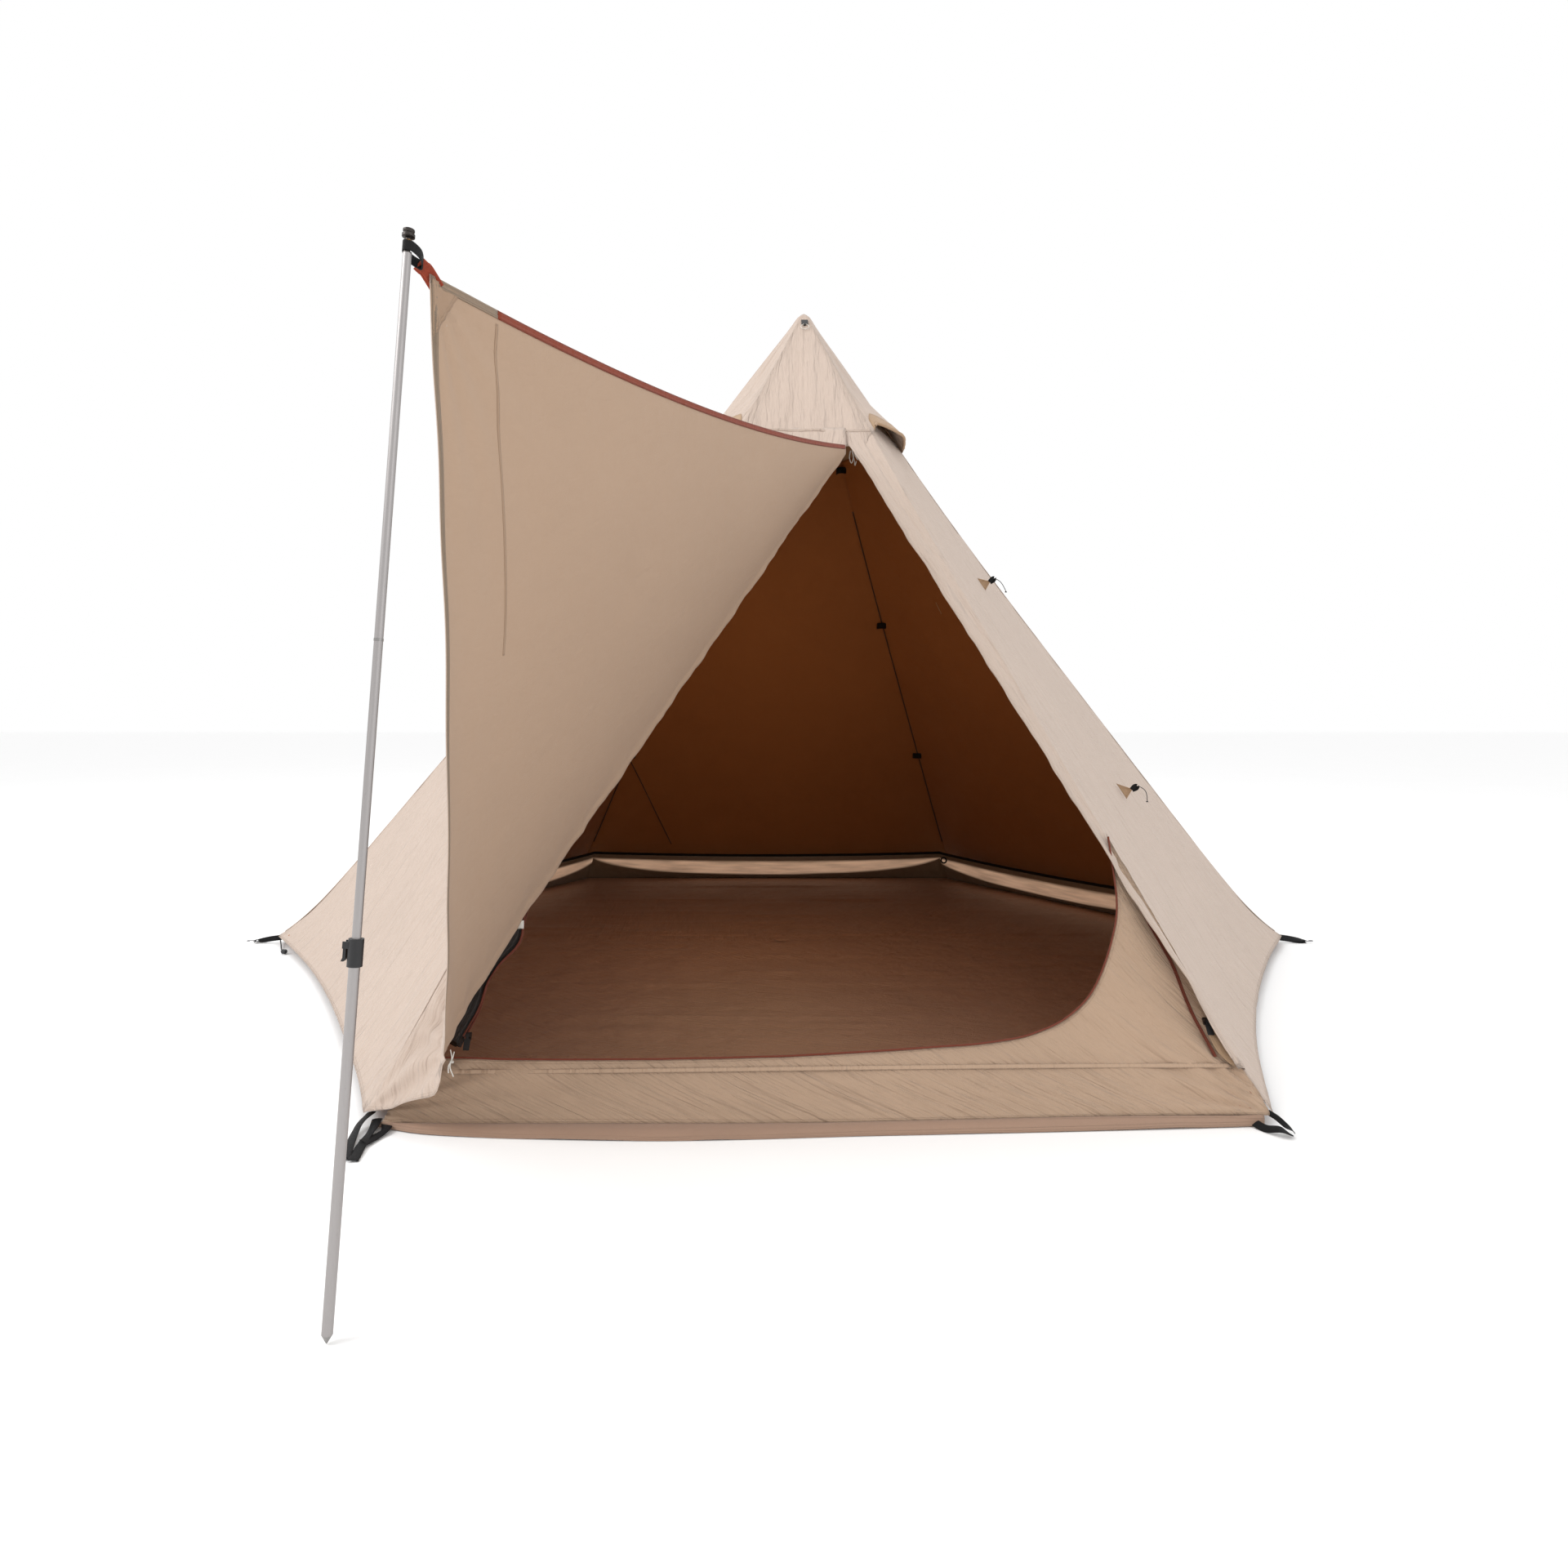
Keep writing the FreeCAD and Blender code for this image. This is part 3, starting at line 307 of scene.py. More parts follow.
def tube(name, line, radius, slots, sides=12, closed=False):
    """Round or pleated tube along a line. radius is a number or an array (points, sides)."""
    line = np.asarray(line, float)
    _, u, v = frames_along(line, closed)
    angle = np.linspace(0, 2 * math.pi, sides, endpoint=False)
    radius = np.broadcast_to(np.asarray(radius, float), (len(line), sides)) if np.ndim(radius) != 1 else (
        np.asarray(radius)[:, None] * np.ones(sides))
    ring = (line[:, None] + u[:, None] * (np.cos(angle) * radius)[..., None]
            + v[:, None] * (np.sin(angle) * radius)[..., None])
    count = len(line)
    index = np.arange(count * sides).reshape(count, sides)
    index = np.concatenate([index, index[:, :1]], 1)
    if closed:
        index = np.concatenate([index, index[:1]], 0)
    faces = quads(index[..., None])[..., 0].reshape(-1, 4)[:, ::-1]
    run = travel(line)
    if closed:
        run = np.append(run, run[-1] + np.linalg.norm(line[0] - line[-1]))
    round_run = np.linspace(0, 2 * math.pi * float(radius.mean()), sides + 1)
    uv = np.stack(np.broadcast_arrays(round_run[None, :], run[:, None]), -1)
    uv = quads(uv).reshape(-1, 4, 2)[:, ::-1]
    verts = ring.reshape(-1, 3)
    all_faces = [tuple(f) for f in faces]
    uvs = uv.reshape(-1, 2)
    if not closed:
        last = (count - 1) * sides
        all_faces.append(tuple(range(sides)))
        all_faces.append(tuple(last + k for k in reversed(range(sides))))
        uvs = np.concatenate([uvs, np.zeros((2 * sides, 2))])
    return make_object(name, verts, all_faces, slots, None, uvs, np.full(uvs.shape, FAR_FROM_EDGE))


def ribbon(name, line, across, width, slots, thickness=0.0014, columns=6, count=60, bulge=0.0):
    """Flat webbing along a smooth line. across holds the width direction at each control point."""
    path = spline(line, count)
    steps = np.linspace(0, len(across) - 1, count)
    knots = np.arange(len(across))
    across = np.asarray(across, float)
    wide = unit(sample(steps, knots, across))
    tangent = unit(np.gradient(path, axis=0))
    wide = unit(wide - tangent * (wide * tangent).sum(-1, keepdims=True))
    out = np.cross(tangent, wide)
    share = np.linspace(-0.5, 0.5, columns)
    grid = path[:, None] + wide[:, None] * (share * width)[None, :, None]
    grid = grid + out[:, None] * (bulge * (0.25 - share ** 2) * 4)[None, :, None]
    return cloth(name, [grid], slots, ("left", "right"), thickness, facing=out.mean(0) + vec(1e-6, 0, 0))


# ---------------------------------------------------------------- materials

class Nodes:
    """Short hand for wiring one material's node tree."""

    def __init__(self, name):
        self.material = bpy.data.materials.new(name)
        self.material.use_nodes = True
        self.tree = self.material.node_tree
        self.shader = self.tree.nodes["Principled BSDF"]

    def add(self, kind, settings=None, **inputs):
        node = self.tree.nodes.new(kind)
        for key, value in (settings or {}).items():
            setattr(node, key, value)
        for key, value in inputs.items():
            self.plug(node.inputs[key.replace("_", " ")], value)
        return node

    def plug(self, socket, value):
        if isinstance(value, bpy.types.NodeSocket):
            self.tree.links.new(value, socket)
        else:
            socket.default_value = value

    def math(self, operation, first, second=0.0, third=0.0):
        node = self.tree.nodes.new("ShaderNodeMath")
        node.operation = operation
        for socket, value in zip(node.inputs, (first, second, third)):
            self.plug(socket, value)
        return node.outputs[0]

    def times(self, first, second):
        return self.math("MULTIPLY", first, second)

    def times_add(self, first, second, third):
        return self.math("MULTIPLY_ADD", first, second, third)

    def blend(self, share, first, second):
        node = self.tree.nodes.new("ShaderNodeMix")
        node.data_type = "RGBA"
        self.plug(node.inputs[0], share)
        self.plug(node.inputs[6], first)
        self.plug(node.inputs[7], second)
        return node.outputs[2]

    def place(self):
        return self.add("ShaderNodeTexCoord").outputs["Object"]

    def surface(self, **inputs):
        """Sets or wires the shader's own sockets and gives the material."""
        for key, value in inputs.items():
            self.plug(self.shader.inputs[key.replace("_", " ")], value)
        return self.material

    def uv(self, name):
        node = self.tree.nodes.new("ShaderNodeUVMap")
        node.uv_map = name
        split = self.add("ShaderNodeSeparateXYZ", Vector=node.outputs[0])
        return node.outputs[0], split.outputs[0], split.outputs[1]

    def spots(self, vector, scale, detail=3.0, rough=0.5, stretch=None):
        if stretch is not None:
            vector = self.add("ShaderNodeMapping", Vector=vector, Scale=stretch).outputs[0]
        node = self.add("ShaderNodeTexNoise", Vector=vector, Scale=scale, Detail=detail, Roughness=rough)
        return node.outputs[0]

    def bump(self, height, distance, strength=1.0, normal=None):
        node = self.add("ShaderNodeBump", Height=height, Distance=distance, Strength=strength)
        if normal is not None:
            self.plug(node.inputs["Normal"], normal)
        return node.outputs[0]


def shade(rgb, share):
    return tuple(c * share for c in rgb[:3]) + (1.0,)


def fabric(name, rgb, roughness=0.8, sheen=0.15, stitch=None, rows=(0.004, 0.0095), weave=0.0012, mottle=0.05,
           crumple=0.0012, pucker=0.002, coat=0.0, ripple=0.0, daylight=0.0):
    """Woven cloth: yarns, mottling, soft creases, sewn rows with puckering beside each seam, painted shade in each
    seam's fold and, if asked, painted daylight.
    """
    n = Nodes(name)
    vector, u, v = n.uv("weave")
    _, near, run = n.uv("edge")
    place = n.place()
    cloudy = n.spots(place, 2.3, 4.0)
    fibre = n.spots(place, 420.0, 2.0)
    base = n.blend(cloudy, shade(rgb, 1 - mottle), shade(rgb, 1 + mottle))
    base = n.blend(n.times(fibre, 0.10), base, shade(rgb, 0.72))
    turn = 2 * math.pi / weave
    warp = n.math("SINE", n.times(u, turn))
    weft = n.math("SINE", n.times(v, turn))
    yarn = n.times(warp, weft)
    base = n.blend(n.times_add(yarn, 0.05, 0.05), base, shade(rgb, 0.6))
    sewn = 0.0
    for offset in rows:
        line = n.math("COMPARE", near, offset, 0.0005)
        sewn = n.math("MAXIMUM", sewn, line)
    stitches = n.math("LESS_THAN", n.math("FRACT", n.times(run, 1 / 0.0034)), 0.66)
    stitches = n.times(sewn, stitches)
    # painted shade: a darker line within 1.2 mm of each sewn edge, in the fold of the seam
    fold = n.math("LESS_THAN", near, 0.0012)
    base = n.blend(n.times(fold, 0.35), base, shade(rgb, 0.45))
    base = n.blend(n.times(stitches, 0.8), base, stitch or shade(rgb, 0.62))
    if daylight:
        # painted daylight: a lighter arc with an emission glow is painted on the thin wall where daylight comes in
        # under the arc of the tent's hem, and the rest of the wall gets painted shade at 30 % of its colour
        side = n.times(u, 1 / 0.97)
        arch = n.math("SQRT", n.math("MAXIMUM", n.math("SUBTRACT", 1.0, n.times(side, side)), 0.0))
        depth = n.times(v, 1 / 0.16)
        above = n.times(n.math("SUBTRACT", n.times_add(arch, 0.72, 0.12), depth), 9.0)
        below = n.times(n.math("SUBTRACT", depth, 0.16), 11.0)
        lit = n.math("MINIMUM", n.math("MAXIMUM", n.math("MINIMUM", above, below), 0.0), 1.0)
        drawn = n.add("ShaderNodeCombineXYZ", X=n.times(u, 5.0), Y=n.times(v, 40.0)).outputs[0]
        folded = n.spots(drawn, 1.0, 3.0)
        lit = n.times(lit, n.times_add(folded, 1.3, 0.25))
        base = n.blend(lit, shade(rgb, 0.30), base)
        n.surface(Emission_Color=(0.52, 0.34, 0.23, 1.0), Emission_Strength=n.times(lit, daylight * 0.62))
    grain = n.spots(place, 60.0, 3.0)
    creases = n.spots(place, 7.0, 5.0, 0.55)
    gathers = n.spots(n.add("ShaderNodeCombineXYZ", X=n.times(near, 14.0),
                            Y=n.times(run, 62.0)).outputs[0], 1.0, 2.0)
    close = n.math("EXPONENT", n.times(near, -38.0))
    gathers = n.times(gathers, close)
    normal = n.bump(creases, crumple * 6)
    if ripple:
        slant = n.add("ShaderNodeMapping", Vector=vector, Rotation=(0.0, 0.0, 0.62), Scale=(30.0, 3.2, 1.0))
        normal = n.bump(n.spots(slant.outputs[0], 1.0, 3.0, 0.55), ripple, normal=normal)
    normal = n.bump(gathers, pucker, normal=normal)
    normal = n.bump(n.math("SUBTRACT", n.times(yarn, 0.5), n.times(sewn, 2.5)), 0.0002, normal=normal)
    return n.surface(Base_Color=base, Roughness=n.times_add(grain, 0.14, roughness - 0.07), Normal=normal,
                     Sheen_Weight=sheen, Sheen_Roughness=0.5, Coat_Weight=coat, Coat_Roughness=0.35,
                     Specular_IOR_Level=0.3)


def webbing(name, rgb, pitch=0.0022, roughness=0.62):
    """Ribbed narrow webbing with a herringbone of yarns and worn edges."""
    n = Nodes(name)
    _, u, v = n.uv("weave")
    near = n.uv("edge")[1]
    place = n.place()
    ribs = n.math("SINE", n.times(n.math("ADD", v, n.math("ABSOLUTE", u)), 2 * math.pi / pitch))
    worn = n.times(n.math("LESS_THAN", near, 0.0015), n.spots(place, 160.0, 2.0))
    lint = n.spots(place, 300.0, 2.0)
    base = n.blend(n.times_add(ribs, 0.25, 0.25), rgb, shade(rgb, 1.7))
    base = n.blend(n.times(worn, 0.5), base, shade(rgb, 3.0))
    base = n.blend(n.times(lint, 0.16), base, shade(rgb, 0.3))
    return n.surface(Base_Color=base, Roughness=n.times_add(lint, 0.2, roughness - 0.1), Specular_IOR_Level=0.3,
                     Normal=n.bump(ribs, 0.0004))


def braid(name, rgb, pitch=0.0016):
    """Round cord: two families of strands that cross."""
    n = Nodes(name)
    place = n.place()
    split = n.add("ShaderNodeSeparateXYZ", Vector=place)
    tilt = n.math("ADD", split.outputs[0], split.outputs[2])
    lean = n.math("SUBTRACT", split.outputs[2], split.outputs[1])
    strands = n.times(n.math("SINE", n.times(tilt, 2 * math.pi / pitch)),
                     n.math("SINE", n.times(lean, 2 * math.pi / pitch)))
    fuzz = n.spots(place, 500.0, 2.0)
    base = n.blend(n.times_add(strands, 0.2, 0.2), rgb, shade(rgb, 0.55))
    base = n.blend(n.times(fuzz, 0.2), base, shade(rgb, 0.75))
    return n.surface(Base_Color=base, Roughness=n.times_add(fuzz, 0.15, 0.65), Sheen_Weight=0.2,
                     Normal=n.bump(strands, 0.0003))


def metal(name, rgb, roughness=0.32, brushed=(1.0, 1.0, 0.05)):
    """Drawn or turned metal: streaks along the part, faint scratches and smudges."""
    n = Nodes(name)
    place = n.place()
    streaks = n.spots(place, 700.0, 3.0, 0.6, brushed)
    smudge = n.spots(place, 9.0, 4.0)
    scratches = n.math("GREATER_THAN", n.spots(place, 130.0, 5.0, 0.7, (1.0, 3.0, 0.4)), 0.66)
    base = n.blend(n.times(smudge, 0.25), rgb, shade(rgb, 0.82))
    base = n.blend(n.times(scratches, 0.25), base, shade(rgb, 0.6))
    return n.surface(Base_Color=base, Roughness=n.times_add(streaks, 0.2, roughness - 0.06), Metallic=1.0,
                     Anisotropic=0.4, Normal=n.bump(streaks, 0.00005))


def plastic(name, rgb, roughness=0.45, grain=900.0):
    """Moulded plastic or rubber with a spark-eroded grain and scuffed high spots."""
    n = Nodes(name)
    place = n.place()
    pits = n.spots(place, grain, 2.0)
    scuff = n.spots(place, 45.0, 5.0, 0.7)
    scuffed = n.math("GREATER_THAN", scuff, 0.62)
    base = n.blend(n.times(scuffed, 0.3), rgb, shade(rgb, 2.4))
    base = n.blend(n.times(pits, 0.3), base, shade(rgb, 0.6))
    return n.surface(Base_Color=base, Roughness=n.times_add(scuff, 0.25, roughness - 0.1),
                     Normal=n.bump(pits, 0.00012))


def netting(name, rgb, pitch=0.0024):
    """Fine insect mesh: threads around small holes that show what is behind."""
    n = Nodes(name)
    _, u, v = n.uv("weave")
    place = n.place()
    cell_u = n.math("ABSOLUTE", n.math("SINE", n.times(u, math.pi / pitch)))
    cell_v = n.math("ABSOLUTE", n.math("SINE", n.times(v, math.pi / pitch)))
    hole = n.times(n.math("GREATER_THAN", cell_u, 0.42), n.math("GREATER_THAN", cell_v, 0.42))
    cloudy = n.spots(place, 8.0, 4.0)
    base = n.blend(cloudy, shade(rgb, 0.7), shade(rgb, 1.5))
    return n.surface(Base_Color=base, Alpha=n.times_add(hole, -0.45, 1.0), Roughness=n.times_add(cloudy, 0.2, 0.6),
                     Normal=n.bump(hole, 0.0003))


SHELL = fabric("shell_cloth", colour(196, 177, 163), stitch=colour(170, 146, 126), ripple=0.022)
# painted shade: the inside of the cream shell cloth is coloured brown for the dim, warm-lit inside of the tent
SHELL_INSIDE_PAINTED_SHADE = fabric("shell_inside_painted_shade", colour(158, 98, 50), roughness=0.75, sheen=0.05, mottle=0.08)
# painted shade: the raised door panel's underside is the same cream cloth as the shell, given a darker tan for the
# shade under it
AWNING_UNDERSIDE_PAINTED_SHADE = fabric("awning_underside_painted_shade", colour(182, 154, 130), roughness=0.78, stitch=colour(150, 120, 95),
                   ripple=0.0022)
LOWER = fabric("lower_cloth", colour(182, 154, 130), roughness=0.7, stitch=colour(160, 128, 102), ripple=0.016)
SKIRT = fabric("skirt_cloth", colour(160, 130, 110), roughness=0.6, stitch=colour(140, 112, 90))
TAN = fabric("trim_cloth", colour(176, 146, 116), roughness=0.8, stitch=colour(150, 120, 92))
GREIGE = fabric("edge_tape", colour(146, 126, 106), roughness=0.7, stitch=colour(110, 95, 80), mottle=0.08)
FACING = fabric("facing_tape", colour(166, 138, 114), roughness=0.75, stitch=colour(128, 106, 86))
FLOOR = fabric("ground_cloth", colour(158, 116, 92), roughness=0.5, sheen=0.05, coat=0.25, crumple=0.004,
               ripple=0.006, stitch=colour(90, 62, 48))
# painted daylight and painted shade: the tub wall's inner side gets a glowing lit arc and is darkened elsewhere
TUB_PAINTED_DAYLIGHT = fabric("tub_cloth_painted_daylight", colour(214, 182, 152), roughness=0.42, coat=0.3, stitch=colour(40, 34, 30),
             daylight=1.0)
RUST = fabric("rust_tape", colour(136, 58, 34), roughness=0.7, stitch=colour(96, 40, 26), weave=0.0016,
              rows=(0.0025, 0.0105))
# painted shade: a darker copy of the rust tape colour for the zip tape, zip coil and piping that lie in shade
RUST_PAINTED_SHADE = fabric("rust_piping_painted_shade", colour(112, 50, 30), roughness=0.7, weave=0.0016, rows=())
INNER_DARK_LINE = fabric("inner_dark_line", colour(70, 42, 24), roughness=0.8, rows=())
NET = netting("insect_net", colour(34, 30, 28))
VENT_NET = netting("vent_net", colour(176, 154, 128))
BLACK_WEB = webbing("black_webbing", colour(15, 15, 17))
RUST_WEB = webbing("rust_webbing", colour(150, 62, 40))
WHITE_CORD = braid("white_cord", colour(224, 218, 208))
GREY_CORD = braid("grey_cord", colour(66, 64, 62))
ALLOY = metal("drawn_alloy", colour(168, 164, 163), roughness=0.42)
STEEL = metal("turned_steel", colour(150, 148, 146), roughness=0.3, brushed=(0.1, 0.1, 1.0))
DARK_STEEL = metal("dark_steel", colour(70, 66, 64), roughness=0.35, brushed=(0.1, 0.1, 1.0))
WIRE = metal("galvanised_wire", colour(120, 120, 122), roughness=0.38)
BRASS = metal("amber_brass", colour(196, 146, 84), roughness=0.35, brushed=(0.1, 0.1, 1.0))
BLACK = plastic("black_nylon", colour(26, 26, 28))
RUBBER = plastic("foot_rubber_mould", colour(34, 34, 34), roughness=0.75, grain=300.0)
LABEL = fabric("white_label", colour(226, 222, 214), roughness=0.7, weave=0.0008)


def finish_piece(thing, slot, *nodes, body="root"):
    """Rides on a body and stands for the CAD nodes, which it hides; slot is not used."""
    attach(thing, body)
    if nodes:
        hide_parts(*nodes)
    return thing


def patch(name, grid, material, slot, *nodes, sewn=("left", "right"), thick=0.0012, facing=None):
    """Finished sheet of one material through one grid."""
    return finish_piece(cloth(name, [grid], [material, material], sewn, thick, facing), slot, *nodes)


def rod(name, line, radius, material, sides, slot, *nodes, closed=False):
    """Finished tube of one material."""
    return finish_piece(tube(name, line, radius, [material], sides, closed), slot, *nodes)


def strap(name, line, across, width, *shape, node):
    """Finished black webbing. shape is its thickness, columns, count and bulge."""
    return finish_piece(ribbon(name, line, across, width, [BLACK_WEB, BLACK_WEB], *shape), "webbing", node)


def dress(material, *nodes):
    """Better material for CAD nodes whose shape is right."""
    for node in nodes:
        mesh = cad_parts[node].data
        if not mesh.materials:
            mesh.materials.append(material)
        for k in range(len(mesh.materials)):
            mesh.materials[k] = material


# ---------------------------------------------------------------- camera, floor and light

FRAME_PX = 1920
FOCAL_PX = 1187
CENTRE_PX = (897.2, 880)
camera_data = bpy.data.cameras.new("camera")
camera_data.sensor_width = 36
camera_data.lens = FOCAL_PX * 36 / FRAME_PX
camera_data.shift_x = (FRAME_PX / 2 - CENTRE_PX[0]) / FRAME_PX
camera_data.shift_y = (CENTRE_PX[1] - FRAME_PX / 2) / FRAME_PX
camera = bpy.data.objects.new("camera", camera_data)
camera.location = (-0.188, -3.862, 0.892)
camera.rotation_euler = (math.pi / 2, 0, 0)
scene.collection.objects.link(camera)
scene.camera = camera

FLOOR_HALF = 60.0
floor_mesh = bpy.data.meshes.new("studio_floor")
floor_corners = ((-1, -1), (1, -1), (1, 1), (-1, 1))
floor_mesh.from_pydata([(x * FLOOR_HALF, y * FLOOR_HALF, -0.0015) for x, y in floor_corners], [], [(0, 1, 2, 3)])
studio_floor = bpy.data.objects.new("studio_floor", floor_mesh)
scene.collection.objects.link(studio_floor)
pale = Nodes("studio_paper")
paper = pale.blend(pale.spots(pale.place(), 1.2, 3.0), (0.95, 0.95, 0.95, 1), (0.97, 0.97, 0.97, 1))
floor_mesh.materials.append(pale.surface(Base_Color=paper, Roughness=0.9))


def lamp(name, place, aim_at, width, power):
    data = bpy.data.lights.new(name, "AREA")
    data.shape = "DISK"
    data.size = width
    data.energy = power
    thing = bpy.data.objects.new(name, data)
    thing.location = place
    thing.rotation_mode = "QUATERNION"
    thing.rotation_quaternion = (Vector(aim_at) - Vector(place)).to_track_quat("-Z", "Y")
    scene.collection.objects.link(thing)


lamp("key", (-6.5, -4.5, 6.0), (0, 0, 1), 4.0, 330)
lamp("fill", (5.5, -6.5, 3.0), (0, 0, 1), 5.0, 70)
lamp("top", (0, 1.5, 8.0), (0, 0, 0), 6.0, 80)

# lamp inside the tent for the daylight that its cloth lets through
glow_data = bpy.data.lights.new("glow", "POINT")
glow_data.energy = 9.0
glow_data.color = (1.0, 0.72, 0.36)
glow_data.shadow_soft_size = 0.8
glow = bpy.data.objects.new("glow", glow_data)
glow.location = (-0.12, -0.30, 0.82)
glow.visible_camera = False
scene.collection.objects.link(glow)
world = bpy.data.worlds.new("studio")
world.use_nodes = True
world.node_tree.nodes["Background"].inputs[0].default_value = (1, 1, 1, 1)
world.node_tree.nodes["Background"].inputs[1].default_value = 1.0
scene.world = world
scene.view_settings.view_transform = "Standard"


# ---------------------------------------------------------------- guy-cord tails

def knot(name, place, size, radius, material):
    """Overhand knot at a cord's end."""
    t = np.linspace(0, 2 * math.pi, 72, endpoint=False)
    line = np.stack([np.sin(t) + 2 * np.sin(2 * t), np.cos(t) - 2 * np.cos(2 * t), -np.sin(3 * t)], -1) * size / 3
    return tube(name, line + place, radius, [material], 8, closed=True)


def free_cord(name, points, diameter, material):
    data = bpy.data.curves.new(name, "CURVE")
    data.dimensions = "3D"
    data.bevel_depth = diameter / 2
    data.bevel_resolution = 3
    data.resolution_u = 16
    data.use_fill_caps = True
    line = data.splines.new("NURBS")
    line.points.add(len(points) - 1)
    for point, place in zip(line.points, points):
        point.co = (*place, 1)
    line.order_u = 3
    line.use_endpoint_u = True
    data.materials.append(material)
    thing = bpy.data.objects.new(name, data)
    scene.collection.objects.link(thing)
    return thing


GUY_CORD = 0.0025
GUY_TAILS = {
    "guy_tail_upper": [(0.744, -0.413, 1.3905), (0.757, -0.422, 1.384), (0.771, -0.427, 1.364), (0.778, -0.435, 1.342)],
    "guy_tail_lower": [(1.149, -0.662, 0.670), (1.165, -0.673, 0.663), (1.174, -0.676, 0.644), (1.172, -0.682, 0.622)],
}
for name, route in GUY_TAILS.items():
    tail = finish_piece(free_cord(f"{name}_cord", route, GUY_CORD, GREY_CORD), "cord", name)
    end = knot(f"{name}_knot", vec(*route[-1]) + vec(0, 0, -0.002), 0.0028, 0.0012, GREY_CORD)
    finish_piece(end, "cord")


# ---------------------------------------------------------------- wall panels

def corner_fans(points, left, right):
    """Tension folds that fan out of a face's two peg corners."""
    total = np.zeros(points.shape[:-1])
    for near, far, seed in ((left, right, 3), (right, left, 5)):
        away = points - CORNERS[near]
        reach = np.linalg.norm(away, axis=-1)
        along = unit(CORNERS[far] - CORNERS[near])
        up = unit(PEAK - CORNERS[near])
        angle = np.arctan2((away * up).sum(-1), (away * along).sum(-1))
        swell = np.exp(-reach / 0.42) * (1 - np.exp(-reach / 0.06))
        wander = noise2(angle * 3, reach * 2.5, seed) * 1.4
        total += swell * np.sin(angle * 21 + wander * 2.4) * (0.6 + 0.4 * noise2(angle * 5, reach * 3, seed + 9))
    return total


def face_grid(left, right, downs, columns, lift=0.0, slack=1.0):
    """Wall face with slack, tension folds and puckered seams."""
    across = 0.5 - 0.5 * np.cos(np.pi * np.linspace(0, 1, columns))
    down, share = np.meshgrid(downs, across, indexing="ij")
    points = face_point(left, right, down, share)
    normal = face_normal(left, right)
    width = np.linalg.norm(seam(right, down) - seam(left, down), axis=-1)
    from_seam = np.minimum(share, 1 - share) * width
    run = down * SLOPE
    key = len(left) * 3 + len(right)
    held = smooth(0, 0.12, from_seam)
    broad = 0.007 * noise(points * vec(1.7, 1.7, 1.1), key) * held
    fan = 0.0045 * corner_fans(points, left, right)
    streaks = 0.0022 * noise2((share - 0.5) * width / 0.060 + 40 + run * 4, run / 0.45, key + 2)
    pucker = 0.0022 * np.exp(-from_seam / 0.05) * noise2(run / 0.05, from_seam / 0.03, key + 4)
    pucker = pucker * smooth(0, 0.006, from_seam)
    streaks = streaks * smooth(0.0, 0.03, from_seam) * (0.35 + 0.65 * smooth(0.3, 0.9, down))
    return points + normal * (lift + slack * (broad + fan + streaks + pucker))[..., None]


panel_downs = np.linspace(PANEL_TOP - 0.002, 1.0, 170)
shell = cloth("tent_shell", [face_grid(a, b, panel_downs, 36) for a, b in SIDE_FACES], [SHELL, SHELL_INSIDE_PAINTED_SHADE])
finish_piece(shell, "shell_fabric", "panel_right_front", "panel_right_back", "panel_back", "panel_left_back",
             "panel_left_front")


def seam_band(left, corner, right, start):
    """Felled seam folded flat over a corner of the tent."""
    down = np.linspace(start, 0.992, 150)
    ridge = seam(corner, down)
    rows = []
    for way, weight in ((left, 1.0), (left, 0.5), (None, 0), (right, 0.5), (right, 1.0)):
        if way is None:
            rows.append(ridge)
            continue
        toward = unit(seam(way, down) - ridge)
        rows.append(ridge + toward * 0.0075 * weight)
    grid = np.stack(rows, 1)
    outward = unit(CORNERS[corner] * vec(1, 1, 0)) + vec(0, 0, 0.6)
    grid = grid + unit(outward) * (0.0016 + 0.0004 * noise1(down / 0.02, 7)[:, None, None])
    return grid


RING = list(CORNERS)
for k, corner in enumerate(RING):
    if corner == "front_left":
        continue
    start = 0.955 if corner == "front_right" else PANEL_TOP
    patch(f"corner_seam_{corner}", seam_band(RING[k - 1], corner, RING[(k + 1) % 6], start), SHELL, "shell_fabric")


# ---------------------------------------------------------------- front: sill, wall, flap

DOOR_EDGE = spline([(-0.905, 0.119, 0), (-0.60, 0.113, 0), (-0.20, 0.117, 0), (0.10, 0.130, 0), (0.405, 0.152, 0),
                    (0.536, 0.184, 0), (0.620, 0.233, 0), (0.676, 0.295, 0), (0.734, 0.400, 0), (0.768, 0.500, 0),
                    (0.787, 0.679, 0)], 220)
TURN_AT = 0.763
at = np.linspace(0, 1, 220)
along_hem = np.clip(at / TURN_AT, 0, 1)
up_seam = np.clip((at - TURN_AT) / (1 - TURN_AT), 0, 1) * 0.7
inner_x, inner_s = DOOR_EDGE[:, 0], DOOR_EDGE[:, 1]
outer_x = np.where(along_hem < 1, -0.955 + 1.949 * along_hem, front_edge(1, up_seam) - 0.006)
outer_s = np.where(along_hem < 1, -0.006 - 0.017 * smooth(0.9, -0.2, outer_x), -0.005 + up_seam)
share = np.linspace(0, 1, 40)[:, None]
wall_x = inner_x + (outer_x - inner_x) * share
wall_s = inner_s + (outer_s - inner_s) * share
wall_out = 0.0055 * noise2(wall_x * 2.2 + 3, wall_s * 9, 11) * np.sin(np.pi * share)
wall_out = wall_out + 0.0030 * noise2(wall_x * 5, wall_s * 34, 12) * smooth(0.02, 0.3, share)
corner_reach = np.hypot(wall_x - 1.0, wall_s)
corner_turn = np.arctan2(wall_s, 1.0 - wall_x)
